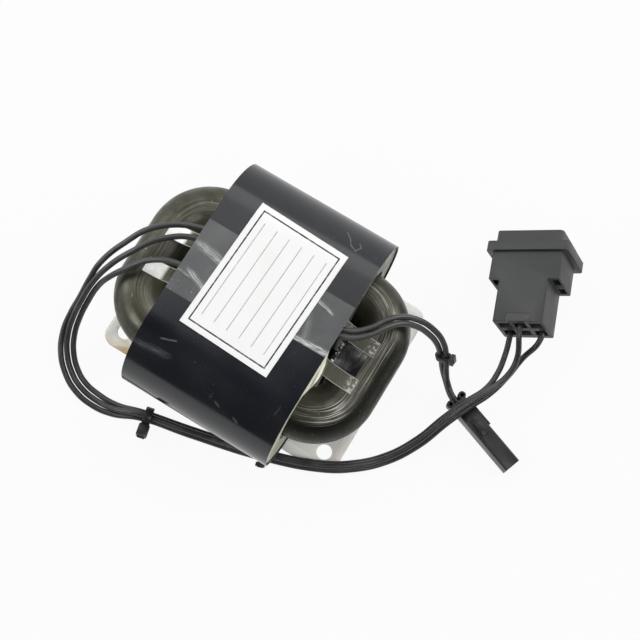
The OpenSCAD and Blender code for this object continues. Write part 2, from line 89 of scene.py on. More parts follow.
# What a node's input takes: another node's output, a number, a vector or a colour
Value = object
Sockets = dict[str, Value]
Route = tuple[Vector, ...]
Mesh = bmesh.types.BMesh
Material = bpy.types.Material
Piece = bpy.types.Object
Pieces = dict[str, bpy.types.Object]


@dataclass(frozen=True)
class Mark:
    """A soft streak on a sheet, seen from above: its two ends, half its width and its soft margin."""

    start: Point
    end: Point
    half: float
    soft: float
    strength: float

    @classmethod
    def mm(cls, start: Point, end: Point, half: float, soft: float, strength: float) -> Mark:
        """Return a mark whose lengths are given in millimetres."""
        ends = [tuple(part * MM for part in point) for point in (start, end)]
        return cls(*ends, half * MM, soft * MM, strength)

    @classmethod
    def thread(cls, *points: Point, strength: float) -> tuple[Mark, ...]:
        """Return the marks of a bent thread that runs through points given in millimetres."""
        return tuple(cls.mm(a, b, *THREAD, strength) for a, b in zip(points, points[1:]))


class Slot(Enum):
    """Material slot names that new pieces are passed with."""

    CORE = "core_steel"
    WRAP = "black_wrap"
    LINER = "insulation_film"
    PLATE = "passivated_steel"
    LABEL = "label"
    TAPE = "clear_tape"
    FILM = "clear_film"
    EXIT_TAPE = "black_tape"
    LEAD = "lead_sheath"
    TIE = "tie_nylon"
    MAIN_PLUG = "grey_plastic"
    RETAINER = "retainer_plastic"
    SMALL_PLUG = "black_plastic"


@dataclass(frozen=True)
class Wire:
    """A node's output, which takes part in sums with numbers, vectors and other outputs."""

    bench: Bench
    socket: bpy.types.NodeSocket

    def do(self, operation: str, other: Value = None) -> Wire:
        """Add one step of arithmetic, done part by part on a vector.

        Args:
            operation: The step's name.
            other: The second value, for a step that takes two.

        Returns:
            The step's result.
        """
        inputs = {0: self} if other is None else {0: self, 1: other}
        if self.socket.type == "VALUE":
            return self.bench.add("ShaderNodeMath", inputs, operation=operation)
        out = "Value" if operation in ("LENGTH", "DOT_PRODUCT") else "Vector"
        return self.bench.add("ShaderNodeVectorMath", inputs, out, operation=operation)

    def __add__(self, other: Value) -> Wire:
        """Return the sum."""
        return self.do("ADD", other)

    def __sub__(self, other: Value) -> Wire:
        """Return the difference."""
        return self.do("SUBTRACT", other)

    def __rsub__(self, other: float) -> Wire:
        """Return what this leaves of a number."""
        return self * -1.0 + other

    def __mul__(self, other: Value) -> Wire:
        """Return the product."""
        return self.do("MULTIPLY", other)

    def most(self, *others: Value) -> Wire:
        """Return the largest of this number and others."""
        return reduce(lambda top, other: top.do("MAXIMUM", other), others, self)

    def parts(self) -> tuple[Wire, ...]:
        """Return the three parts of a vector."""
        node = self.bench.add("ShaderNodeSeparateXYZ", {0: self}).socket.node
        return tuple(Wire(self.bench, part) for part in node.outputs)

    def span(self, low: float, high: float, start: Value = 0.0, end: Value = 1.0) -> Wire:
        """Return a number eased from start to end as this one goes from low to high."""
        inputs = {"Value": self, "From Min": low, "From Max": high, "To Min": start, "To Max": end}
        return self.bench.add("ShaderNodeMapRange", inputs, interpolation_type="SMOOTHSTEP")

    def line(self, middle: float, half: float, soft: float) -> Wire:
        """Return 1 where this number lies within half of middle, with soft edges."""
        return (self - middle).do("ABSOLUTE").span(half, half + soft, 1.0, 0.0)

    def to_edge(self, size: float) -> Wire:
        """Return the distance to the nearer end of a size that this number crosses from 0 to 1."""
        return self.do("MINIMUM", 1.0 - self) * size


class Bench:
    """Lays the nodes of one tree with short calls."""

    def __init__(self, tree: bpy.types.NodeTree, place: str = "Object") -> None:
        """Start on a tree.

        Args:
            tree: The tree to lay nodes in.
            place: The coordinates that patterns read.
        """
        self.tree = tree
        self.place = self.add("ShaderNodeTexCoord", {}, place)

    def feed(self, socket: bpy.types.NodeSocket, value: Value) -> None:
        """Link a socket to an output, or set it to a plain value.

        Args:
            socket: The input to fill.
            value: An output, a number, a vector or a colour of three parts.
        """
        if isinstance(value, Wire):
            self.tree.links.new(value.socket, socket)
        elif socket.type == "RGBA":
            socket.default_value = (*value, 1.0)
        else:
            socket.default_value = value

    def add(self, kind: str, inputs: dict[str | int, Value], out: str | int = 0, **settings: Value) -> Wire:
        """Add a node.

        Args:
            kind: The node's type.
            inputs: What each of its inputs takes, by name or place.
            out: The output to return, by name or place.
            **settings: The node's own options.

        Returns:
            The chosen output.
        """
        node = self.tree.nodes.new(kind)
        for key, value in settings.items():
            setattr(node, key, value)
        for key, value in inputs.items():
            self.feed(node.inputs[key], value)
        return Wire(self, node.outputs[out])

    def uv(self) -> tuple[Wire, ...]:
        """Return the parts of the UV map's coordinates."""
        return self.add("ShaderNodeTexCoord", {}, "UV").parts()

    def join(self, x: Wire, y: Wire, z: Value = 0.0) -> Wire:
        """Return a vector of three parts."""
        return self.add("ShaderNodeCombineXYZ", {0: x, 1: y, 2: z})

    def stretch(self, scale: Place, turn: float = 0.0) -> Wire:
        """Return coordinates stretched along the axes and turned about Z."""
        inputs = {"Vector": self.place, "Scale": scale, "Rotation": (0.0, 0.0, turn)}
        return self.add("ShaderNodeMapping", inputs)

    def noise(self, scale: float, detail: float, vector: Wire | None = None, warp: float = 0.0) -> Wire:
        """Return a soft noise of a given scale, in cells to the metre."""
        inputs = {"Vector": vector or self.place, "Scale": scale, "Detail": detail, "Distortion": warp}
        return self.add("ShaderNodeTexNoise", inputs, "Fac")

    def stroke(self, mark: Mark) -> Wire:
        """Lay a mark as a streaky line between its ends, as seen from above.

        Args:
            mark: The mark to lay.

        Returns:
            Its strength at each point.
        """
        start = Vector((*mark.start, 0.0))
        run = Vector((*mark.end, 0.0)) - start
        way = run.normalized()
        sway = 0.8 * mark.soft
        drift = self.add("ShaderNodeTexNoise", {"Vector": self.place, "Scale": 240.0}, "Color")
        middle = start + Vector((sway / 2, sway / 2, 0.0))
        out = self.place * (1.0, 1.0, 0.0) + drift * (sway, sway, 0.0) - tuple(middle)
        along = out.do("DOT_PRODUCT", tuple(way))
        cross = out.do("DOT_PRODUCT", (-way.y, way.x, 0.0))
        past = (along * -1.0).most(along - run.length, 0.0)
        off = self.join(past * 0.4, cross).do("LENGTH")
        streak = self.noise(1.0, 3.0, self.join(along * 260.0, cross * 2400.0)).span(0.30, 0.66, 0.12, 1.0)
        return off.span(mark.half, mark.half + mark.soft, mark.strength, 0.0) * streak

    def strokes(self, marks: Sequence[Mark]) -> Wire:
        """Return the strength of the strongest of some marks."""
        first, *others = (self.stroke(mark) for mark in marks)
        return first.most(*others)

    def mix(self, share: Value, a: Value, b: Value) -> Wire:
        """Return a colour that goes from a to b with share."""
        return self.add("ShaderNodeMix", {0: share, 6: a, 7: b}, 2, data_type="RGBA")

    def bump(self, height: Wire, depth: float, strength: float) -> Wire:
        """Return a normal for a relief of a given depth in metres."""
        return self.add("ShaderNodeBump", {"Strength": strength, "Distance": depth, "Height": height})


class Finish:
    """A material's recipe. Each kind holds its own colours and sizes."""

    name: str

    def sockets(self, bench: Bench) -> Sockets:
        """Lay the recipe's nodes.

        Args:
            bench: The new material's bench.

        Returns:
            What each of the main shader's sockets takes, by name.
        """
        raise NotImplementedError

    def paint(self) -> Material:
        """Return a new material of this recipe."""
        material = bpy.data.materials.new(self.name)
        material.use_nodes = True
        bench = Bench(material.node_tree)
        shader = bench.tree.nodes["Principled BSDF"]
        for key, value in self.sockets(bench).items():
            bench.feed(shader.inputs[key], value)
        return material


@dataclass(frozen=True)
class StripSteel(Finish):
    """Varnished steel strip, wound into the core: fine lines run along its inner turns."""

    name = "varnished_strip_steel"
    straight_x: float
    straight_y: float
    corner_r: float
    fine_lines: float = 4200.0
    broad_lines: float = 620.0
    run_lines: float = 75.0
    wander: float = 1.2 * MM
    varnish: Colour = (0.088, 0.088, 0.066)
    shade: Colour = (0.060, 0.059, 0.045)
    # Bare steel; where it lines the right yoke's crown it is also a painted highlight
    bare: Colour = (0.60, 0.595, 0.545)
    gap: Colour = (0.012, 0.012, 0.010)
    # Painted shade on the outer side of the right yoke, weaker towards the rear
    outer_shade: Colour = (0.020, 0.019, 0.015)
    # Painted light on the inner side of the left yoke
    painted_light: Colour = (0.150, 0.148, 0.114)
    right_shift: float = 2.8 * MM

    def across(self, bench: Bench) -> Wire:
        """Return the distance out from the middle turn, in metres."""
        past = bench.place.do("ABSOLUTE") * (1.0, 1.0, 0.0) - (self.straight_x, self.straight_y, 0.0)
        outside = past.do("MAXIMUM", (0.0, 0.0, 0.0)).do("LENGTH")
        x, y, _ = past.parts()
        return outside + x.most(y).do("MINIMUM", 0.0) - self.corner_r

    def along_turns(self, bench: Bench, across: Wire, lines: float) -> Wire:
        """Return a noise that changes across the turns and hardly along them.

        Args:
            bench: The material's bench.
            across: The distance out from the middle turn.
            lines: How many lines there are to the metre.

        Returns:
            The noise.
        """
        turn = (across + bench.noise(60.0, 1.0) * self.wander) * lines
        x, y, _ = (bench.place * (self.run_lines, self.run_lines, 0.0)).parts()
        return bench.noise(1.0, 1.0, bench.join(turn, x, y))

    def sockets(self, bench: Bench) -> Sockets:
        """Lay the bare inner turns over the varnish, mostly at the right end, with painted light on the left
        yoke's inner side, painted shade on the right yoke's outer side and painted highlights in the bare
        lines along the right yoke's crown.
        """
        across = self.across(bench)
        fine = self.along_turns(bench, across, self.fine_lines)
        broad = self.along_turns(bench, across, self.broad_lines)
        x, y, _ = bench.place.parts()
        right = x.span(12.0 * MM, 30.0 * MM, 0.10, 1.0)
        left = x.span(-12.0 * MM, -30.0 * MM)
        patch = bench.noise(45.0, 4.0).span(0.36, 0.62, 0.25, 1.0)
        out = across - right * self.right_shift
        shown = out.span(1.5 * MM, 3.5 * MM, 1.0, 0.03) * patch
        # The right yoke's crown, where the bare lines are painted bright as highlights
        crown = out.line(-1.1 * MM, 1.7 * MM, 1.7 * MM) * patch * right
        mottle = bench.noise(240.0, 5.0)
        speck = bench.noise(1500.0, 2.0).span(0.68, 0.76, 0.0, 0.30)
        body = bench.mix(mottle.span(0.3, 0.7), self.varnish, self.shade)
        # Painted light on the left yoke's inner side
        body = bench.mix(across.span(1.5 * MM, -2.5 * MM, 0.0, 0.75) * left, body, self.painted_light)
        # Painted shade on the right yoke's outer side
        run = out.span(0.4 * MM, 2.2 * MM, 0.0, 0.85) * right * y.span(6.0 * MM, 17.0 * MM, 1.0, 0.35)
        body = bench.mix(run, body, self.outer_shade)
        # Bare lines along the right yoke's crown are painted highlights; the specks are bare steel
        body = bench.mix(broad.span(0.45, 0.7) * crown * 0.10, body, self.bare)
        body = bench.mix((fine.span(0.54, 0.62) * crown * 0.9).most(speck), body, self.bare)
        return {
            "Base Color": bench.mix(fine.span(0.50, 0.38) * shown * 0.6, body, self.gap),
            "Metallic": 0.70,
            "Roughness": mottle.span(0.3, 0.7, 0.30, 0.44),
            "Specular IOR Level": 0.3,
            "Normal": bench.bump(fine * shown + mottle * 0.10, 0.10 * MM, 0.8),
        }


@dataclass(frozen=True)
class WrapFilm(Finish):
    """Black glossy wrap with faint clouds, dust and a few soft scuffs."""

    name = "black_wrap_film"
    film: Colour = (0.0075, 0.0090, 0.0125)
    cloud: Colour = (0.0120, 0.0140, 0.0180)
    scuff: Colour = (0.22, 0.23, 0.23)
    scuffs: tuple[Mark, ...] = (
        Mark.mm((-23.0, -28.4), (-15.4, -27.6), 0.1, 1.3, 0.26),
        Mark.mm((-17.8, -24.1), (-14.1, -22.9), 0.05, 0.35, 0.55),
        Mark.mm((4.8, -31.6), (5.6, -31.9), 0.05, 0.40, 0.40),
        Mark.mm((11.6, -32.8), (12.4, -33.1), 0.05, 0.40, 0.40),
        *Mark.thread(
            (11.3, 31.0), (12.9, 29.7), (14.2, 27.8), (16.1, 27.0), (17.0, 28.7), (16.2, 29.6), strength=0.6,
        ),
        *Mark.thread((8.6, 24.6), (9.9, 24.7), (11.0, 23.9), (12.6, 24.1), (12.8, 25.4), strength=0.3),
    )

    def sockets(self, bench: Bench) -> Sockets:
        """Lay the scuffs, hairs and dust over the clouded film."""
        clouds = bench.noise(55.0, 4.0)
        hair_at = bench.stretch((1.0, 0.10, 1.0), 0.6)
        hair = bench.noise(520.0, 3.0, hair_at, 0.8).span(0.70, 0.76, 0.0, 0.10)
        dust = bench.noise(1500.0, 1.0).span(0.74, 0.82, 0.0, 0.22)
        marks = bench.strokes(self.scuffs).most(hair, dust)
        film = bench.mix(clouds.span(0.35, 0.7), self.film, self.cloud)
        return {
            "Base Color": bench.mix(marks, film, self.scuff),
            "Roughness": clouds.span(0.3, 0.75, 0.13, 0.20) + marks * 0.4,
            "Specular IOR Level": 0.55,
            "Normal": bench.bump(bench.noise(28.0, 2.0), 0.35 * MM, 0.30),
        }


@dataclass(frozen=True)
class CutEdge(Finish):
    """Pale cut edge of the wrap's layers, where the paper behind the film shows; the pale colour is also a
    painted highlight of the edge catching the light.
    """

    name = "wrap_cut_edge"
    # Pale paper layer, also a painted highlight of the cut edge catching the light
    paper: Colour = (0.36, 0.37, 0.31)
    film: Colour = (0.10, 0.10, 0.085)

    def sockets(self, bench: Bench) -> Sockets:
        """Lay the layers."""
        layers = bench.noise(900.0, 4.0)
        return {
            "Base Color": bench.mix(layers.span(0.42, 0.66), self.paper, self.film),
            "Roughness": 0.6,
            "Normal": bench.bump(layers, 0.05 * MM, 0.5),
        }


@dataclass(frozen=True)
class LinerPaper(Finish):
    """Cream paper that lines the wrap, its layers showing as fine lines along its cut end."""

    name = "wrap_liner_paper"
    cream: Colour = (0.78, 0.77, 0.64)
    gap: Colour = (0.20, 0.20, 0.15)

    def sockets(self, bench: Bench) -> Sockets:
        """Lay the lines."""
        lines = bench.noise(1.0, 2.0, bench.stretch((1300.0, 60.0, 60.0)))
        return {
            "Base Color": bench.mix(lines.span(0.54, 0.66, 0.0, 0.8), self.cream, self.gap),
            "Roughness": 0.7,
            "Normal": bench.bump(lines, 0.08 * MM, 0.6),
        }


@dataclass(frozen=True)
class FormerPlastic(Finish):
    """Cream moulded plastic of the formers, darkened with painted shade by the window and at the rear right.
    """

    name = "cream_former_plastic"
    light: Colour = (0.74, 0.73, 0.60)
    stain: Colour = (0.56, 0.55, 0.43)
    # Colour of the painted shade by the window and at the rear right
    varnish: Colour = (0.055, 0.055, 0.043)
    window: float = 3.0 * MM

    def sockets(self, bench: Bench) -> Sockets:
        """Lay the painted shade over the stained plastic."""
        stain = bench.noise(160.0, 5.0).span(0.42, 0.72)
        x, y, _ = bench.place.parts()
        rear_end = x.span(18.0 * MM, 23.0 * MM) * y.span(2.0 * MM, 8.0 * MM)
        shade_patches = bench.noise(90.0, 3.0).span(0.34, 0.60, 0.70, 0.95)
        # Painted shade by the window and at the rear right, broken up by noise
        shade_mask = y.line(self.window, 6.5 * MM, 3.0 * MM).most(rear_end) * shade_patches
        return {
            "Base Color": bench.mix(shade_mask, bench.mix(stain, self.light, self.stain), self.varnish),
            "Roughness": stain.span(0.0, 1.0, 0.42, 0.6),
            "Normal": bench.bump(bench.noise(900.0, 3.0), 0.05 * MM, 0.5),
        }


@dataclass(frozen=True)
class WoundLayer(Finish):
    """A layer of a coil: turns or tape that run round the leg, side by side along X."""

    name: str
    light: Colour
    dark: Colour
    pitch: float
    metallic: float = 0.0
    roughness: float = 0.35

    def sockets(self, bench: Bench) -> Sockets:
        """Lay the turns."""
        x, _, _ = bench.place.parts()
        wave = (x * (math.tau / self.pitch)).do("SINE")
        tone = bench.noise(120.0, 4.0, bench.stretch((6.0, 1.0, 1.0)))
        return {
            "Base Color": bench.mix((wave + tone).span(-0.4, 1.3), self.dark, self.light),
            "Metallic": self.metallic,
            "Roughness": self.roughness,
            "Normal": bench.bump(wave, 0.1 * MM, 0.7),
        }


@dataclass(frozen=True)
class PassivatedSteel(Finish):
    """Zinc-plated sheet with a pale yellow passivation, gold in patches, ochre at its stains and ochre
    painted shade at the left end's front edge by the wrap.
    """

    name = "yellow_passivated_steel"
    pale: Colour = (1.0, 0.995, 0.95)
    gold: Colour = (0.86, 0.75, 0.48)
    blush: Colour = (0.92, 0.90, 0.86)
    pit: Colour = (0.20, 0.17, 0.11)
    ochre: Colour = (0.60, 0.33, 0.08)
    stains_and_shade: tuple[Mark, ...] = (
        # Painted shade of the wrap on the plate's left front edge, in ochre; the other two marks are stains
        Mark.mm((-33.6, -29.9), (-28.0, -28.2), 1.1, 1.0, 1.0),
        Mark.mm((40.6, -19.0), (40.6, -28.0), 1.0, 1.6, 0.2),
        Mark.mm((26.0, 29.6), (31.0, 29.4), 0.4, 1.2, 0.5),
    )

    def sockets(self, bench: Bench) -> Sockets:
        """Lay the patches, stains, painted shade and pits."""
        patch = bench.noise(75.0, 4.0, warp=0.6)
        colour = bench.mix(patch.span(0.55, 0.80), self.pale, self.gold)
        colour = bench.mix(bench.noise(110.0, 3.0).span(0.58, 0.75, 0.0, 0.5), colour, self.blush)
        colour = bench.mix(bench.strokes(self.stains_and_shade), colour, self.ochre)
        speck = bench.noise(1300.0, 2.0).span(0.72, 0.80, 0.0, 0.4)
        return {
            "Base Color": bench.mix(speck, colour, self.pit),
            "Metallic": 0.04,
            "Roughness": patch.span(0.3, 0.7, 0.32, 0.46),
            "Normal": bench.bump(bench.noise(700.0, 3.0), 0.04 * MM, 0.4),
        }


@dataclass(frozen=True)
class BondPad(Finish):
    """Grey foam pad between the wrap and the base plate."""

    name = "bonding_foam"
    foam: Colour = (0.42, 0.40, 0.33)
    pore: Colour = (0.20, 0.19, 0.15)

    def sockets(self, bench: Bench) -> Sockets:
        """Lay the pores."""
        pores = bench.noise(2200.0, 2.0).span(0.52, 0.68)
        return {
            "Base Color": bench.mix(pores, self.foam, self.pore),
            "Roughness": 0.85,
            "Normal": bench.bump(pores, 0.1 * MM, 0.6),
        }


@dataclass(frozen=True)
class LabelPaper(Finish):
    """White paper label with a printed border and plain ruled lines, all on its own UV map."""

    name = "white_label_paper"
    width: float
    length: float
    border_inset: float = 1.75 * MM
    border_line: float = 0.4 * MM
    rows: int = 6
    rule_line: float = 0.22 * MM
    rule_inset: float = 5.0 * MM
    rule_margin: float = 3.2 * MM
    paper: Colour = (0.835, 0.835, 0.835)
    aged: Colour = (0.785, 0.785, 0.76)
    ink: Colour = (0.022, 0.022, 0.026)

    def sockets(self, bench: Bench) -> Sockets:
        """Lay the worn print over paper that is greyer at its edges."""
        u, v, _ = bench.uv()
        side = u.to_edge(self.width)
        end = v.to_edge(self.length)
        edge = side.do("MINIMUM", end)
        border = edge.line(self.border_inset + self.border_line / 2, self.border_line / 2, 0.06 * MM)
        inset = self.border_inset + self.border_line
        row_h = (self.width - 2 * inset) / self.rows
        rule = (u * self.width - inset).do("MODULO", row_h).line(row_h / 2, self.rule_line / 2, 0.05 * MM)
        rule = rule * end.span(self.rule_inset, self.rule_inset + 0.05 * MM)
        rule = rule * side.span(self.rule_margin, self.rule_margin + 0.1 * MM)
        wear = bench.noise(1400.0, 3.0).span(0.36, 0.5, 0.72, 1.0)
        tone = bench.noise(90.0, 4.0).span(0.45, 0.8)
        grime = (tone * 0.5).most(edge.span(0.0, 0.7 * MM, 0.8, 0.0))
        paper = bench.mix(grime, self.paper, self.aged)
        return {
            "Base Color": bench.mix(border.most(rule * 0.55) * wear, paper, self.ink),
            "Roughness": tone.span(0.0, 1.0, 0.66, 0.78),
            "Specular IOR Level": 0.05,
            "Normal": bench.bump(bench.noise(420.0, 4.0), 0.05 * MM, 0.35),
        }


@dataclass(frozen=True)
class LeadTape(Finish):
    """Clear tape over the leads: an even grey haze, painted white highlights along its creases and a few
    fine bubbles.
    """

    name: str
    creases: tuple[Mark, ...]
    bubbles: float
    haze: Colour = (0.32, 0.325, 0.325)
    # Colour of the painted highlights along the creases and of the bubbles
    white: Colour = (0.84, 0.85, 0.85)
    clear: float = 0.15
    cloudy: float = 0.22

    def sockets(self, bench: Bench) -> Sockets:
        """Lay the painted highlights along the creases, and the bubbles, over the haze."""
        cloud = bench.noise(110.0, 3.0)
        where = bench.noise(70.0, 2.0).span(0.50, 0.62, 0.0, self.bubbles)
        # Painted highlights along the creases, with the white bubbles
        white = bench.strokes(self.creases).most(bench.noise(1700.0, 2.0).span(0.68, 0.75) * where)
        ripple = bench.noise(260.0, 3.0, bench.stretch((1.0, 0.3, 1.0), 0.35), 0.5)
        return {
            "Base Color": bench.mix(white, self.haze, self.white),
            "Roughness": cloud.span(0.3, 0.7, 0.26, 0.38),
            "Specular IOR Level": 0.4,
            "Alpha": cloud.span(0.32, 0.72, self.clear, self.cloudy) + white * 0.5,
            "Normal": bench.bump(ripple, 0.15 * MM, 0.5),
        }


@dataclass(frozen=True)
class FilmStrip(Finish):
    """Clear film strip: painted highlights along its edges and at its right tip, a painted white reflection
    at its left end and a rubbed right end.
    """

    name = "clear_film_strip"
    width: float
    reach: float
    tint: Colour = (0.50, 0.50, 0.40)
    # Colour of the painted highlights and reflection, and of the rubbed end
    white: Colour = (0.97, 0.97, 0.94)
    clear: float = 0.11
    # How white the painted reflection at the left end is
    painted_glare: float = 1.0
    rubbed: float = 0.55
    edge_line: float = 0.22 * MM

    def sockets(self, bench: Bench) -> Sockets:
        """Lay the painted highlights, the painted reflection and the rubbed end over the clear film."""
        x, _, _ = bench.place.parts()
        _, v, _ = bench.uv()
        # Painted highlights along the edges and at the right tip
        rim = v.to_edge(self.width).span(0.4 * self.edge_line, self.edge_line, 0.55, 0.0)
        tip_highlight = x.span(self.reach - 0.25 * MM, self.reach - 0.1 * MM, 0.0, 0.5)
        # Painted white reflection at the left end
        painted_glare = x.span(-28.2 * MM, -30.0 * MM, 0.0, self.painted_glare)
        grain = bench.noise(900.0, 4.0, warp=0.4).span(0.38, 0.62)
        worn = x.span(self.reach - 4.2 * MM, self.reach - 1.2 * MM, 0.0, self.rubbed) * grain
        root = x.do("ABSOLUTE").span(25.5 * MM, 29.0 * MM, 0.14, 0.0)
        white = rim.most(tip_highlight, painted_glare, worn)
        return {
            "Base Color": bench.mix(white, self.tint, self.white),
            "Roughness": 0.12,
            "Specular IOR Level": 0.7,
            "Alpha": white.most(root, self.clear),
            "Normal": bench.bump(bench.noise(300.0, 3.0), 0.08 * MM, 0.5),
        }


@dataclass(frozen=True)
class LeadSheath(Finish):
    """Soft dark grey sheath of a lead, with pale scuffs."""

    name = "lead_sheath"
    sheath: Colour = (0.032, 0.032, 0.033)
    worn: Colour = (0.065, 0.065, 0.064)

    def sockets(self, bench: Bench) -> Sockets:
        """Lay the scuffs and the grain."""
        worn = bench.noise(150.0, 5.0).span(0.46, 0.76)
        grain = bench.noise(1800.0, 2.0) + bench.noise(260.0, 3.0)
        return {
            "Base Color": bench.mix(worn, self.sheath, self.worn),
            "Roughness": worn.span(0.0, 1.0, 0.34, 0.50),
            "Specular IOR Level": 0.55,
            "Normal": bench.bump(grain, 0.06 * MM, 0.5),
        }


@dataclass(frozen=True)
class MouldedPlastic(Finish):
    """Moulded plastic with a fine spark-eroded grain, dull clouds and pale rubbed spots."""

    name: str
    body: Colour
    rubbed: Colour
    roughness: float
    rub_from: float
    rub_share: float
    grain: float = 0.05 * MM
    rub_soft: float = 0.16
    shade: float = 0.82

    def sockets(self, bench: Bench) -> Sockets:
        """Lay the rubbed spots over the clouded plastic."""
        cloud = bench.noise(140.0, 4.0)
        spots = bench.noise(330.0, 5.0, warp=0.7)
        rub = spots.span(self.rub_from, self.rub_from + self.rub_soft, 0.0, self.rub_share)
        dull = tuple(part * self.shade for part in self.body)
        tone = bench.mix(cloud.span(0.3, 0.7), dull, self.body)
        return {
            "Base Color": bench.mix(rub, tone, self.rubbed),
            "Roughness": cloud.span(0.3, 0.7, self.roughness - 0.06, self.roughness + 0.08),
            "Specular IOR Level": 0.45,
            "Normal": bench.bump(bench.noise(2600.0, 2.0), self.grain, 0.5),
        }


@dataclass(frozen=True)
class BlackTape(Finish):
    """Glossy black tape with small creases and painted glints at its inner end."""

    name = "black_exit_tape"
    tape: Colour = (0.008, 0.008, 0.009)
    crease: Colour = (0.022, 0.023, 0.024)
    # Colour of the painted glints at the inner end
    painted_glint: Colour = (0.80, 0.82, 0.80)
    cut_x: float = 26.0 * MM

    def sockets(self, bench: Bench) -> Sockets:
        """Lay the painted glints over the creased tape."""
        streak = bench.noise(500.0, 4.0, bench.stretch((1.0, 0.35, 1.0), 0.2), 0.6)
        x, _, _ = bench.place.parts()
        # Painted glints along the inner end
        glint_band = x.span(self.cut_x + 1.5 * MM, self.cut_x + 0.7 * MM)
        painted_glint = glint_band * bench.noise(1300.0, 2.0).span(0.50, 0.58)
        tape = bench.mix(streak.span(0.58, 0.78), self.tape, self.crease)
        return {
            "Base Color": bench.mix(painted_glint, tape, self.painted_glint),
            "Roughness": streak.span(0.3, 0.7, 0.16, 0.36),
            "Normal": bench.bump(streak, 0.18 * MM, 0.8),
        }


@dataclass(frozen=True)
class ContactMetal(Finish):
    """Tinned brass of the crimped contacts."""

    name = "tinned_contact"
    tin: Colour = (0.62, 0.58, 0.48)
    brass: Colour = (0.52, 0.38, 0.16)

    def sockets(self, bench: Bench) -> Sockets:
        """Lay the worn tin."""
        tone = bench.noise(700.0, 3.0)
        return {
            "Base Color": bench.mix(tone.span(0.45, 0.7), self.tin, self.brass),
            "Metallic": 0.9,
            "Roughness": tone.span(0.3, 0.7, 0.26, 0.42),
        }


@dataclass(frozen=True)
class FloorPaper(Finish):
    """Pale matt paper under the object."""

    name = "pale_floor"
    colour: Colour = (0.62, 0.62, 0.62)

    def sockets(self, bench: Bench) -> Sockets:
        """Give the paper its colour."""
        return {"Base Color": self.colour, "Roughness": 0.9, "Specular IOR Level": 0.0}


def link(name: str, data: bpy.types.ID) -> Piece:
    """Put new data into the scene as an object at the origin."""
    piece = bpy.data.objects.new(name, data)
    bpy.context.scene.collection.objects.link(piece)
    return piece


def only(parts: Sequence[bmesh.types.BMElem], kind: type) -> list[bmesh.types.BMElem]:
    """Return the parts of a bmesh that are of one kind."""
    return [part for part in parts if isinstance(part, kind)]


def settle(bm: Mesh, name: str, material: Material, crease: float = CREASE) -> Piece:
    """Turn a bmesh into a piece at the origin, smooth but for its sharp edges.

    Args:
        bm: The finished bmesh, which is freed.
        name: The piece's name.
        material: Its finish.
        crease: The angle in degrees from which an edge stays sharp.

    Returns:
        The new object, linked to the scene.
    """
    bm.normal_update()
    for face in bm.faces:
        face.smooth = True
    for edge in bm.edges:
        edge.smooth = edge.is_manifold and edge.calc_face_angle(0.0) < math.radians(crease)
    mesh = bpy.data.meshes.new(name)
    bm.to_mesh(mesh)
    bm.free()
    mesh.materials.append(material)
    return link(name, mesh)


def register(piece: Piece, slot: Slot, *nodes: str) -> Piece:
    """Give a piece its body and hide the nodes that it stands for.

    Args:
        piece: The finished piece.
        slot: The material slot, which is not used.
        *nodes: The nodes that it replaces.

    Returns:
        The same piece.
    """
    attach(piece, BODY)
    if nodes:
        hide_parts(*nodes)
    LOG.info("%s stands for %s", piece.name, ", ".join(nodes) or "itself")
    return piece


def soften(nodes: Pieces, node: str, word: str, edge_r: float, material: Material, slot: Slot) -> Piece:
    """Copy a solid, its flat faces made whole and its sharp edges rounded.

    Args:
        nodes: The frame's nodes.
        node: The name of the node to copy.
        word: The word that starts the new piece's name.
        edge_r: The bevel's width in metres.
        material: The piece's finish.
        slot: The material slot, passed on to register.

    Returns:
        The piece, which stands for the node.
    """
    bm = bmesh.new()
    bm.from_mesh(nodes[node].data)
    bmesh.ops.remove_doubles(bm, verts=bm.verts, dist=SEAM)
    bmesh.ops.dissolve_limit(bm, angle_limit=math.radians(FLAT), verts=bm.verts, edges=bm.edges)
    least = math.radians(SHARP)
    sharp = [edge for edge in bm.edges if edge.is_manifold and edge.calc_face_angle(0.0) > least]
    bmesh.ops.bevel(
        bm, geom=sharp, offset=edge_r, affect="EDGES", segments=2, profile=0.5, material=-1,
        clamp_overlap=True,
    )
    return register(settle(bm, f"{word}_{node}", material), slot, node)


def dress(nodes: Pieces, names: Sequence[str], material: Material) -> None:
    """Give a finish to solids that are shown as they are.

    Args:
        nodes: The frame's nodes.
        names: The nodes to dress.
        material: Their finish.
    """
    for name in names:
        for slot in nodes[name].material_slots:
            slot.material = material
        LOG.info("%s keeps its solid", name)


def thicken(piece: Piece, thickness: float, side: float) -> bpy.types.Modifier:
    """Give a sheet thickness.

    Args:
        piece: The sheet.
        thickness: How thick it becomes.
        side: 1 to grow outwards, -1 to grow inwards.

    Returns:
        The modifier that does it.
    """
    wall = piece.modifiers.new("wall", "SOLIDIFY")
    wall.thickness = thickness
    wall.offset = side
    return wall


def grow(bm: Mesh, rim: Sequence[bmesh.types.BMEdge], by: Vector) -> tuple[list, list]:
    """Draw a rim of edges out into faces.

    Args:
        bm: The bmesh to change.
        rim: The edges to draw out.
        by: How far, and which way.

    Returns:
        The points and the edges of the new rim.
    """
    grown = bmesh.ops.extrude_edge_only(bm, edges=rim)["geom"]
    verts = only(grown, bmesh.types.BMVert)
    bmesh.ops.translate(bm, verts=verts, vec=by)
    return verts, only(grown, bmesh.types.BMEdge)


def stance(place: Sequence[float], across: Vector, back: Vector) -> Matrix:
    """Return how a lamp or camera stands, with its X axis along across and its Z axis along back."""
    turn = Matrix((across, back.cross(across), back)).transposed()
    return Matrix.Translation(place) @ turn.to_4x4()


def clamp(value: float) -> float:
    """Return a number held between 0 and 1."""
    return min(max(value, 0.0), 1.0)


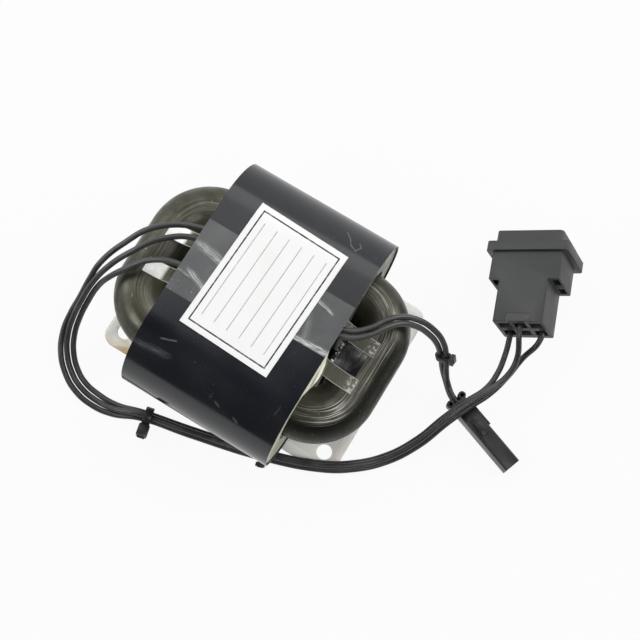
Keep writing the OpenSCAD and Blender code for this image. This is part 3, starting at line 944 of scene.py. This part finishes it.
def swell(at: Vector, run: float) -> float:
    """Return a soft noise between 0 and 1 that changes over a given length."""
    return 0.5 + 0.5 * noise.noise(at / run)


def mm(*points: Place) -> Route:
    """Return points given in millimetres as points in metres."""
    return tuple(Vector(point) * MM for point in points)


@dataclass(frozen=True)
class Lamp:
    """A soft lamp: where it hangs, what it faces, its two sides and its power in watts."""

    name: str
    place: Place
    aim: Place
    sides: tuple[float, float]
    power: float

    def hang(self) -> None:
        """Hang the lamp with its first side level, square to the room if it faces straight down."""
        data = bpy.data.lights.new(self.name, "AREA")
        data.shape = "RECTANGLE"
        data.size, data.size_y = self.sides
        data.energy = self.power
        back = (Vector(self.place) - Vector(self.aim)).normalized()
        level = UP.cross(back)
        if level.length < MM:
            level = UP.cross(Vector((*self.place[:2], 0.0)))
        link(self.name, data).matrix_world = stance(self.place, level.normalized(), back)


@dataclass
class Studio:
    """The camera at the photograph's angle, the pale floor, the world and the soft lamps."""

    camera_mm: Place = (63.00, -69.82, 428.05)
    camera_right: Place = (0.8553, 0.5181, 0.0)
    camera_back: Place = (0.1124, -0.1844, 0.9764)
    lens: float = 78.32
    sensor: float = 36.0
    clip_start: float = 10 * MM
    floor_half: float = 4.0
    floor_glow: float = 0.93
    bright_side: Place = (-0.65, 0.76, 0.0)
    bright: float = 0.98
    dim: float = 0.10
    zenith: float = 0.12
    lamps: tuple[Lamp, ...] = (
        Lamp("key_softbox", (-0.251, 0.502, 0.79), (-0.251, 0.502, 0.0), (1.1, 0.8), 3.6),
        Lamp("left_softbox", (-0.75, -0.05, 0.36), (-0.03, 0.0, 0.03), (0.5, 0.4), 1.5),
        Lamp("rear_softbox", (0.62, 0.62, 0.42), (0.03, 0.0, 0.02), (0.6, 0.5), 4.0),
        Lamp("top_softbox", (0.40, -0.14, 0.85), (0.02, 0.0, 0.02), (0.30, 0.30), 1.6),
        Lamp("front_softbox", (-0.52, -0.55, 0.52), (-0.02, -0.01, 0.01), (0.35, 0.35), 1.8),
    )

    def build(self) -> None:
        """Set up everything that isn't the object."""
        scene = bpy.context.scene
        scene.view_settings.view_transform = "Standard"
        self.place_camera(scene)
        self.lay_floor()
        self.light_world(scene)
        for lamp in self.lamps:
            lamp.hang()

    def place_camera(self, scene: bpy.types.Scene) -> None:
        """Stand the camera where the photograph was taken from.

        Args:
            scene: The scene that it shows.
        """
        data = bpy.data.cameras.new("camera")
        data.lens = self.lens
        data.sensor_width = self.sensor
        data.clip_start = self.clip_start
        back = Vector(self.camera_back).normalized()
        right = Vector(self.camera_right)
        across = (right - back * right.dot(back)).normalized()
        scene.camera = link("camera", data)
        scene.camera.matrix_world = stance(Vector(self.camera_mm) * MM, across, back)

    def seen_rays(self, bench: Bench) -> Wire:
        """Return 1 for the rays that show the background: camera, glossy and transmission rays."""
        kinds = ("Is Camera Ray", "Is Glossy Ray", "Is Transmission Ray")
        first, *others = (bench.add("ShaderNodeLightPath", {}, kind) for kind in kinds)
        return first.most(*others)

    def lay_floor(self) -> None:
        """Lay a wide pale floor that shows white and still takes a soft shadow."""
        bm = bmesh.new()
        bmesh.ops.create_grid(bm, x_segments=1, y_segments=1, size=self.floor_half)
        material = FloorPaper().paint()
        bench = Bench(material.node_tree)
        nodes = bench.tree.nodes
        white = bench.add("ShaderNodeEmission", {"Color": WHITE, "Strength": 1.0})
        share = self.seen_rays(bench) * self.floor_glow
        pale = Wire(bench, nodes["Principled BSDF"].outputs[0])
        surface = bench.add("ShaderNodeMixShader", {0: share, 1: pale, 2: white})
        bench.feed(nodes["Material Output"].inputs["Surface"], surface)
        settle(bm, "floor", material)

    def light_world(self, scene: bpy.types.Scene) -> None:
        """Fill the room with soft light: white to the camera, else dim in front and overhead.

        Args:
            scene: The scene to light.
        """
        world = bpy.data.worlds.new("studio")
        world.use_nodes = True
        scene.world = world
        bench = Bench(world.node_tree, "Generated")
        facing = bench.place.do("DOT_PRODUCT", self.bright_side)
        _, _, up = bench.place.parts()
        glow = facing.span(-0.25, 0.75, self.dim, self.bright) * up.span(0.86, 0.96, 1.0, self.zenith)
        camera = bench.add("ShaderNodeLightPath", {}, "Is Camera Ray")
        level = bench.add("ShaderNodeMix", {0: camera, 2: glow, 3: 1.0}, 0, data_type="FLOAT")
        background = bench.tree.nodes["Background"]
        bench.feed(background.inputs["Color"], WHITE)
        bench.feed(background.inputs["Strength"], level)


@dataclass
class Coils:
    """The wrapped coils: sizes read from the frame, and the skin that sheets are laid on."""

    half_length: float = 0.0
    leg_y: float = 0.0
    middle_z: float = 0.0
    skin_r: float = 0.0

    def __post_init__(self) -> None:
        """Read the sizes from the wrap's box."""
        low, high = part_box("outer_wrap")
        self.half_length = high[0]
        self.middle_z = (low[2] + high[2]) / 2
        self.skin_r = (high[2] - low[2]) / 2
        self.leg_y = high[1] - self.skin_r

    def height(self, y: float, lift: float) -> float:
        """Return the height of the wrap's upper skin at a place across it, with a lift out from it."""
        past = max(abs(y) - self.leg_y, 0.0)
        return self.middle_z + math.sqrt((self.skin_r + lift) ** 2 - past ** 2)


@dataclass
class Core:
    """The strip-wound core, with the formers and the coils on its legs."""

    nodes: Pieces
    straight_x: float = 24 * MM
    straight_y: float = 8.5 * MM
    section_facets: int = 72
    corner_steps: int = 30
    seam: float = 0.002 * MM
    corners: tuple[tuple[int, int], ...] = ((1, 1), (-1, 1), (-1, -1), (1, -1))
    copper: tuple[Colour, Colour] = ((0.55, 0.24, 0.09), (0.22, 0.08, 0.03))
    film: tuple[Colour, Colour] = ((0.62, 0.55, 0.30), (0.45, 0.38, 0.18))

    def build(self) -> None:
        """Dress the core and everything that is wound on it."""
        self.ring()
        formers = [f"{side}_former_{half}" for side in SIDES for half in ("upper", "lower")]
        dress(self.nodes, formers, FormerPlastic().paint())
        for part, layer in self.layers().items():
            dress(self.nodes, [f"{side}_{part}" for side in SIDES], layer.paint())

    def ring(self) -> None:
        """Run a round section along the yokes and legs and round the four corners."""
        low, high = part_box("core")
        section_r = (high[2] - low[2]) / 2
        yoke_x = high[0] - section_r
        start = Matrix.Translation((yoke_x, -self.straight_y, (low[2] + high[2]) / 2))
        bm = bmesh.new()
        upright = start @ Matrix.Rotation(math.pi / 2, 4, "X")
        bmesh.ops.create_circle(bm, segments=self.section_facets, radius=section_r, matrix=upright)
        rim = bm.edges[:]
        for quarter, (x, y) in enumerate(self.corners):
            turn = Matrix.Rotation(quarter * math.pi / 2, 3, "Z")
            half = self.straight_y if quarter % 2 == 0 else self.straight_x
            verts, rim = grow(bm, rim, turn @ Vector((0.0, 2 * half, 0.0)))
            corner = (x * self.straight_x, y * self.straight_y, 0.0)
            swept = bmesh.ops.spin(
                bm, geom=verts + rim, cent=corner, axis=UP, angle=math.pi / 2, steps=self.corner_steps,
                use_merge=False,
            )
            rim = only(swept["geom_last"], bmesh.types.BMEdge)
        bmesh.ops.remove_doubles(bm, verts=bm.verts, dist=self.seam)
        bmesh.ops.recalc_face_normals(bm, faces=bm.faces)
        steel = StripSteel(self.straight_x, self.straight_y, yoke_x - self.straight_x).paint()
        register(settle(bm, "strip_core", steel), Slot.CORE, "core")

    def layers(self) -> dict[str, WoundLayer]:
        """Return the finish of each wound layer by the end of its nodes' names."""
        return {
            "primary_winding": WoundLayer("primary_wire", *self.copper, 0.35 * MM, 0.8, 0.3),
            "secondary_winding": WoundLayer("secondary_wire", *self.copper, 0.6 * MM, 0.8, 0.3),
            "layer_insulation": WoundLayer("layer_film", *self.film, 10 * MM),
            "coil_tape": WoundLayer("coil_tape_film", *self.film, 12 * MM),
        }


@dataclass
class Wrap:
    """The black wrap round both coils, a thin sheet with a slight ripple, and its liner's end."""

    coils: Coils
    thickness: float = 0.45 * MM
    facets: int = 112
    flat_cuts: int = 20
    rows: int = 30
    ripple: float = 0.07 * MM
    ripple_length: float = 16 * MM
    liner_from: Point = (24.6 * MM, -19.0 * MM)
    liner_size: Point = (0.4 * MM, 17.0 * MM)
    liner_cells: Cells = (8, 40)
    liner_bow: float = 1.6 * MM
    liner_round: float = 1.3
    liner_ragged: float = 0.08
    liner_ragged_run: float = 1.5 * MM
    liner_sag: float = 0.25 * MM
    liner_t: float = 0.25 * MM

    def build(self) -> None:
        """Make the wrap and the end of its liner."""
        self.sheet()
        self.liner()

    def sheet(self) -> None:
        """Make the wrap and its thickness."""
        bm = bmesh.new()
        upright = Matrix.Rotation(math.pi / 2, 4, "Y") @ Matrix.Rotation(math.pi / self.facets, 4, "Z")
        bmesh.ops.create_circle(bm, segments=self.facets, radius=self.coils.skin_r, matrix=upright)
        for vert in bm.verts:
            vert.co.y += math.copysign(self.coils.leg_y, vert.co.y)
        spans = [edge for edge in bm.edges if edge.calc_length() > self.coils.leg_y]
        bmesh.ops.subdivide_edges(bm, edges=spans, cuts=self.flat_cuts)
        bmesh.ops.translate(bm, verts=bm.verts, vec=(-self.coils.half_length, 0.0, self.coils.middle_z))
        step = Vector((2 * self.coils.half_length / self.rows, 0.0, 0.0))
        rim = bm.edges[:]
        for _ in range(self.rows):
            _, rim = grow(bm, rim, step)
        bmesh.ops.recalc_face_normals(bm, faces=bm.faces)
        bm.normal_update()
        for vert in bm.verts:
            vert.co += vert.normal * self.ripple * (swell(vert.co, self.ripple_length) - 1.0)
        piece = settle(bm, "wrap_sheet", WrapFilm().paint(), SHEET_CREASE)
        piece.data.materials.append(CutEdge().paint())
        thicken(piece, self.thickness, -1.0).material_offset_rim = 1
        register(piece, Slot.WRAP, "outer_wrap")

    def liner(self) -> None:
        """Let the cream liner bow out from under the wrap's right end, over the front coil."""
        bm = bmesh.new()
        across, along = self.liner_cells
        bmesh.ops.create_grid(bm, x_segments=across, y_segments=along, size=0.5)
        for vert in bm.verts:
            out, share = vert.co.x + 0.5, vert.co.y + 0.5
            arch = math.sin(math.pi * share)
            y = self.liner_from[1] + self.liner_size[1] * share
            tear = noise.noise(Vector((0.0, y, 0.0)) / self.liner_ragged_run)
            bow = self.liner_bow * arch ** self.liner_round * (1.0 + self.liner_ragged * tear)
            x = self.liner_from[0] + out * (self.liner_size[0] + bow)
            sag = self.liner_sag * out * arch
            vert.co = (x, y, self.coils.height(y, -self.thickness - self.ripple) - sag)
        piece = settle(bm, "wrap_liner_end", LinerPaper().paint(), SHEET_CREASE)
        thicken(piece, self.liner_t, -1.0)
        register(piece, Slot.LINER)


@dataclass
class Sheets:
    """The label, the clear tapes, the film strips and the black tape tab."""

    nodes: Pieces
    coils: Coils
    film_t: float = 0.15 * MM
    label_size: Point = (30 * MM, 42.5 * MM)
    label_place: Point = (-0.3 * MM, 3.3 * MM)
    label_turn: float = -2.5
    label_t: float = 0.15 * MM
    label_cells: Cells = (30, 60)
    label_swell: float = 0.05 * MM
    label_run: float = 9 * MM
    tape_t: float = 0.06 * MM
    tape_gap: float = 0.02 * MM
    tape_cells: Cells = (48, 84)
    tape_margin: float = 0.6 * MM
    tape_rise: float = 1.5 * MM
    tape_swell: float = 0.2
    tape_run: float = 3 * MM
    fold_h: float = 0.28 * MM
    # Creases that stand up from the tapes; their finish paints highlights along them
    left_creases: tuple[Mark, ...] = (
        Mark.mm((-21.4, 4.6), (-17.0, 3.8), 0.4, 1.6, 0.62),
        Mark.mm((-20.2, -3.9), (-16.6, -5.3), 0.3, 1.1, 0.7),
        Mark.mm((-27.0, -4.2), (-21.0, -4.9), 0.05, 0.5, 0.4),
    )
    right_creases: tuple[Mark, ...] = (
        Mark.mm((14.8, 8.4), (19.4, 7.3), 0.10, 0.8, 0.7),
        Mark.mm((13.4, -4.4), (24.0, -3.9), 0.45, 0.8, 0.85),
        Mark.mm((15.6, 1.5), (17.0, -2.5), 0.10, 1.8, 0.22),
    )
    left_bubbles: float = 0.6
    right_bubbles: float = 0.0
    strip_t: float = 0.08 * MM
    strip_cells: Cells = (120, 8)
    strip_wave: float = 0.12 * MM
    strip_run: float = 4 * MM
    tab_edge_r: float = 0.1 * MM

    def build(self) -> None:
        """Make every thin sheet."""
        self.label()
        self.tape("left_lead_tape", self.left_creases, self.left_bubbles)
        self.tape("right_lead_tape", self.right_creases, self.right_bubbles)
        low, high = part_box("front_film_strip")
        film = FilmStrip(high[1] - low[1], high[0]).paint()
        for side in SIDES:
            self.strip(f"{side}_film_strip", film)
        soften(self.nodes, "exit_tape", "zigzag", self.tab_edge_r, BlackTape().paint(), Slot.EXIT_TAPE)

    def lay(
        self,
        name: str,
        place: Matrix,
        cells: Cells,
        height: Callable[[Vector], float],
        thickness: float,
        material: Material,
    ) -> Piece:
        """Lay a flat grid with a UV map over a height rule and give it thickness.

        Args:
            name: The piece's name.
            place: Where the grid's square of two metres goes, with its size.
            cells: How many cells it has each way.
            height: The height of its underside at a point.
            thickness: Its thickness, upwards.
            material: Its finish.

        Returns:
            The new piece.
        """
        bm = bmesh.new()
        bm.loops.layers.uv.new("sheet")
        across, along = cells
        bmesh.ops.create_grid(
            bm, x_segments=across, y_segments=along, size=1.0, matrix=place, calc_uvs=True,
        )
        for vert in bm.verts:
            vert.co.z = height(vert.co)
        piece = settle(bm, name, material, SHEET_CREASE)
        thicken(piece, thickness, 1.0)
        return piece

    def spot(self, middle: Point, size: Point, turn: float = 0.0) -> Matrix:
        """Return where a sheet goes in plan, with its size and its turn in degrees."""
        turned = Matrix.Translation((*middle, 0.0)) @ Matrix.Rotation(math.radians(turn), 4, "Z")
        return turned @ Matrix.Diagonal((size[0] / 2, size[1] / 2, 1.0, 1.0))

    def plan(self, low: Sequence[float], high: Sequence[float]) -> Matrix:
        """Return where a sheet that fills a box goes in plan, with its size."""
        middle = ((low[0] + high[0]) / 2, (low[1] + high[1]) / 2)
        return self.spot(middle, (high[0] - low[0], high[1] - low[1]))

    def label(self) -> None:
        """Lay the label over the tapes and round the rear shoulder."""

        def height(at: Vector) -> float:
            """Return the height of the label's underside at a point."""
            return self.coils.height(at.y, self.film_t) + self.label_swell * swell(at, self.label_run)

        place = self.spot(self.label_place, self.label_size, self.label_turn)
        paper = LabelPaper(*self.label_size).paint()
        piece = self.lay("bare_label", place, self.label_cells, height, self.label_t, paper)
        register(piece, Slot.LABEL, "rating_label")

    def tape(self, node: str, creases: tuple[Mark, ...], bubbles: float) -> None:
        """Lay a clear tape, raised along its creases between the label and the wrap's end.

        Args:
            node: The node that it stands for.
            creases: The creases that stand up from it.
            bubbles: How white its fine bubbles are.
        """
        low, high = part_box(node)
        label_edge = self.label_size[0] / 2 + self.tape_margin

        def height(at: Vector) -> float:
            """Return the height of the tape's underside at a point."""
            free = clamp((abs(at.x) - label_edge) / self.tape_rise)
            fold = max(self.fold(at, crease) for crease in creases)
            rise = max(fold, self.tape_swell * swell(at, self.tape_run))
            return low[2] + self.tape_gap + self.fold_h * free * rise

        tape = LeadTape(f"clear_{node}", creases, bubbles).paint()
        place = self.plan(low, high)
        piece = self.lay(f"creased_{node}", place, self.tape_cells, height, self.tape_t, tape)
        register(piece, Slot.TAPE, node)

    def fold(self, at: Vector, crease: Mark) -> float:
        """Return how far up a crease stands at a point.

        Args:
            at: The point.
            crease: The crease.

        Returns:
            A share of its full height, from 0 to 1.
        """
        start, end = Vector(crease.start), Vector(crease.end)
        share = clamp((at.xy - start).dot(end - start) / (end - start).length_squared)
        off = (at.xy - start.lerp(end, share)).length / (crease.half + crease.soft)
        return max(1.0 - off * off, 0.0)

    def strip(self, node: str, material: Material) -> None:
        """Lay a film strip along a coil's shoulder, its ends curving down to the yokes.

        Args:
            node: The node that it stands for.
            material: Its finish.
        """
        low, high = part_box(node)
        bend_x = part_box("front_former_upper")[1][0]
        drop = high[2] - self.film_t - low[2]

        def height(at: Vector) -> float:
            """Return the height of the strip's underside at a point."""
            part = clamp((abs(at.x) - bend_x) / (high[0] - bend_x))
            wave = self.strip_wave * swell(at, self.strip_run)
            return low[2] + drop * (1.0 - part) ** 2 + wave * part

        place = self.plan(low, high)
        piece = self.lay(f"curved_{node}", place, self.strip_cells, height, self.strip_t, material)
        register(piece, Slot.FILM, node)


@dataclass
class Base:
    """The base plate and the pad that bonds the coils to it."""

    nodes: Pieces
    edge_r: float = 0.18 * MM

    def build(self) -> None:
        """Round the plate's edges and dress both pieces."""
        soften(self.nodes, "base_plate", "pressed", self.edge_r, PassivatedSteel().paint(), Slot.PLATE)
        dress(self.nodes, ["bond_pad"], BondPad().paint())


@dataclass
class Plugs:
    """The grey panel plug with its retainer, the slim black plug and their contacts."""

    nodes: Pieces
    main_edge_r: float = 0.22 * MM
    small_edge_r: float = 0.16 * MM
    grey: MouldedPlastic = MouldedPlastic(
        "grey_plug_plastic", (0.038, 0.0403, 0.0395), (0.075, 0.078, 0.078), 0.46, 0.66, 0.35,
    )
    pale: MouldedPlastic = MouldedPlastic(
        "retainer_plastic", (0.046, 0.048, 0.047), (0.34, 0.34, 0.33), 0.42, 0.60, 0.75,
    )
    black: MouldedPlastic = MouldedPlastic(
        "black_plug_plastic", (0.0135, 0.0135, 0.0138), (0.05, 0.05, 0.05), 0.40, 0.66, 0.25, 0.02 * MM,
    )

    def build(self) -> Pieces:
        """Make the plugs.

        Returns:
            Each new piece by the node that it stands for.
        """
        contacts = [name for name in self.nodes if "contact" in name]
        dress(self.nodes, contacts, ContactMetal().paint())
        mouldings = {
            "main_plug_housing": (self.main_edge_r, self.grey, Slot.MAIN_PLUG),
            "main_plug_retainer": (self.small_edge_r, self.pale, Slot.RETAINER),
            "small_plug_housing": (self.small_edge_r, self.black, Slot.SMALL_PLUG),
        }
        return {
            node: soften(self.nodes, node, "moulded", edge_r, finish.paint(), slot)
            for node, (edge_r, finish, slot) in mouldings.items()
        }


@dataclass
class Ties:
    """The cable ties on the looms."""

    nodes: Pieces
    names: Names = ("loom_tie_1", "loom_tie_2", "secondary_tie")
    edge_r: float = 0.22 * MM
    nylon: MouldedPlastic = MouldedPlastic(
        "black_tie_nylon", (0.024, 0.024, 0.025), (0.08, 0.08, 0.08), 0.36, 0.62, 0.5,
    )

    def build(self) -> Pieces:
        """Make the ties.

        Returns:
            Each new piece by the node that it stands for.
        """
        nylon = self.nylon.paint()
        return {
            name: soften(self.nodes, name, "pulled", self.edge_r, nylon, Slot.TIE)
            for name in self.names
        }


@dataclass(frozen=True)
class PlugEnd:
    """How a plug takes its leads: its turn in degrees, its tail, its cavities and the points along one."""

    turn: Place
    tail_mm: Place
    cavities: tuple[Point, ...]
    stops: tuple[float, ...]

    def route(self, i: int) -> Route:
        """Return the points that bring a lead straight into a cavity.

        Args:
            i: The cavity's number, from 0.

        Returns:
            A point behind the plug's tail, then those in the cavity.
        """
        x, y, z = (math.radians(turn) for turn in self.turn)
        turn = Matrix.Rotation(z, 3, "Z") @ Matrix.Rotation(y, 3, "Y") @ Matrix.Rotation(x, 3, "X")
        tail = Vector(self.tail_mm) * MM
        across, up = self.cavities[i]
        return tuple(tail + turn @ Vector((across, along, up)) for along in self.stops)


@dataclass
class Leads:
    """The three primary leads in their tied loom and the secondary pair, end to end."""

    pieces: Pieces
    diameter: float = 1.8 * MM
    gap: float = 0.2 * MM
    ring_steps: int = 5
    run_steps: int = 10
    tape_end: float = 25 * MM
    outs: tuple[Route, ...] = (
        mm((-14, 10, 36.9), (-26, 9.5, 36.9), (-38, 2.9, 35.8), (-44.1, -5.1, 31.9), (-48.3, -12.9, 26.6)),
        mm((-14, 6, 36.9), (-26, 6, 36.9), (-34.2, 1.1, 36), (-40.6, -6.3, 32.8), (-45.5, -13.3, 27.6)),
        mm((-14, -3, 36.9), (-26, -3, 36.9), (-34, -5.8, 34.5), (-39.4, -10.7, 30.8), (-43.8, -15.5, 26.4)),
    )
    loop: Route = mm(
        (-48, -19.1, 22.8), (-49.1, -24.8, 18), (-49.6, -29.9, 13.5), (-49.1, -34.6, 9.7),
        (-47, -39.3, 6.7), (-43, -43.6, 4.1), (-38.6, -46, 2.6), (-32.7, -47, 1.7), (-26.2, -46.5, 2.5),
    )
    droops: Angles = (30.0, 43.0, 35.0, 22.0, 9.0, 6.0, 6.0, 11.0, 37.0)
    loom: Route = mm(
        (-17.5, -43.7, 3.6), (-2, -40.2, 1.7), (21, -34.7, 3), (38, -28.5, 3), (45.5, -24, 2.7),
        (53.5, -16.5, 2.2), (59.5, -7.5, 6), (63.5, 2.5, 9.6), (66.7, 9.8, 10.2), (70, 16.5, 11),
    )
    loom_angles: Angles = (210.0, 90.0, 330.0)
    ends: tuple[Route, ...] = (
        mm((72.9, 23.5, 10.6), (73.9, 30, 12)),
        mm((72.6, 23, 13), (72.6, 28.3, 15.2)),
        mm((69.8, 22.4, 10.8), (69, 28.5, 11.4)),
    )
    primary_fittings: tuple[Names, ...] = (
        ("main_plug_housing", "main_plug_retainer", "main_plug_contact_1", "loom_tie_1", "loom_tie_2"),
        ("main_plug_contact_2",),
        ("main_plug_contact_3",),
    )
    pair: Route = mm(
        (14, 3.3, 36.9), (20, 3.75, 36.9), (26, 4.2, 36.9), (32.2, 8.9, 36.3), (34.5, 13, 35),
        (37.4, 16.8, 32.7), (41.7, 19.5, 28.8), (46.5, 20.5, 24), (50.5, 19.9, 19.3), (53.3, 17.8, 14.6),
        (55.3, 15.6, 9.8), (57.6, 13.6, 6),
    )
    pair_turns: Angles = (0.0, 0.0, 0.0, 0.0, 0.0, 5.0, 12.0, 22.0, 33.0, 48.0, 68.0, 85.0)
    pair_fittings: tuple[Names, ...] = (
        ("small_plug_housing", "small_plug_contact_1", "secondary_tie"),
        ("small_plug_contact_2",),
    )
    main_plug: PlugEnd = PlugEnd(
        (-9.0, -26.0, 24.0), (69.6, 37, 17.399),
        ((4.9 * MM, -2.8 * MM), (0.0, 2.8 * MM), (-4.9 * MM, -2.8 * MM)), (-2 * MM, 3 * MM),
    )
    small_plug: PlugEnd = PlugEnd(
        (0.0, 0.0, -109.5), (63.8, 9.8, 3.75),
        ((0.0, 1.5 * MM), (0.0, -1.5 * MM)), (-2 * MM, 0.5 * MM, 3 * MM),
    )

    def build(self) -> None:
        sheath = LeadSheath().paint()
        pitch = self.diameter + self.gap
        loops = (
            self.beside(self.loop, pitch, [180.0 + droop for droop in self.droops]),
            self.loop,
            self.beside(self.loop, pitch, [-droop for droop in self.droops]),
        )
        for i, fittings in enumerate(self.primary_fittings):
            loom = self.beside(self.loom, pitch / math.sqrt(3), [self.loom_angles[i]] * len(self.loom))
            route = self.outs[i] + loops[i] + loom + self.ends[i] + self.main_plug.route(i)
            self.lead(f"primary_lead_{i + 1}", route, sheath, fittings)
        for i, fittings in enumerate(self.pair_fittings):
            turns = [turn + 180.0 * i for turn in self.pair_turns]
            route = self.beside(self.pair, pitch / 2, turns) + self.small_plug.route(i)
            self.lead(f"secondary_lead_{i + 1}", route, sheath, fittings)

    def beside(self, route: Route, radius: float, angles: Sequence[float]) -> Route:
        """Return the points at an angle round each point of a route.

        Args:
            route: The middle of the bundle.
            radius: The distance from it.
            angles: The angle at each point in degrees: 0 is level on the left, 90 is above.

        Returns:
            The offset points.
        """
        points = []
        for i, (point, angle) in enumerate(zip(route, angles)):
            ahead = (route[min(i + 1, len(route) - 1)] - route[max(i - 1, 0)]).normalized()
            side = UP.cross(ahead).normalized()
            turn = math.radians(angle)
            points.append(point + radius * (math.cos(turn) * side + math.sin(turn) * ahead.cross(side)))
        return tuple(points)

    def lead(self, node: str, route: Route, sheath: Material, fittings: Sequence[str]) -> None:
        """Args:
            node: The node that it stands for.
            route: The points that it runs through.
            sheath: Its finish.
            fittings: The names of the plug, contact and ties on it.
        """
        data = bpy.data.curves.new(f"round_{node}", "CURVE")
        data.dimensions = "3D"
        data.bevel_depth = self.diameter / 2
        data.bevel_resolution = self.ring_steps
        data.resolution_u = self.run_steps
        data.use_fill_caps = True
        data.materials.append(sheath)
        spline = data.splines.new("BEZIER")
        spline.bezier_points.add(len(route) - 1)
        for knot, point in zip(spline.bezier_points, route):
            knot.co = point
            knot.handle_left_type = "AUTO"
            knot.handle_right_type = "AUTO"
        piece = register(link(f"round_{node}", data), Slot.LEAD, node)
        length = sum((b - a).length for a, b in zip(route, route[1:]))
        exit_at = next(point for point in route if abs(point.x) > self.tape_end)
        [self.pieces[name] for name in fittings]


def main() -> None:
    """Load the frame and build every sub-assembly."""
    logging.basicConfig(level=logging.INFO, format="%(name)s: %(message)s")
    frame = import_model()
    nodes = frame["nodes"]
    Studio().build()
    plugs = Plugs(nodes).build()
    ties = Ties(nodes).build()
    Leads({**nodes, **plugs, **ties}).build()
    coils = Coils()
    Core(nodes).build()
    Wrap(coils).build()
    Sheets(nodes, coils).build()
    Base(nodes).build()


if __name__ == "__main__":
    main()
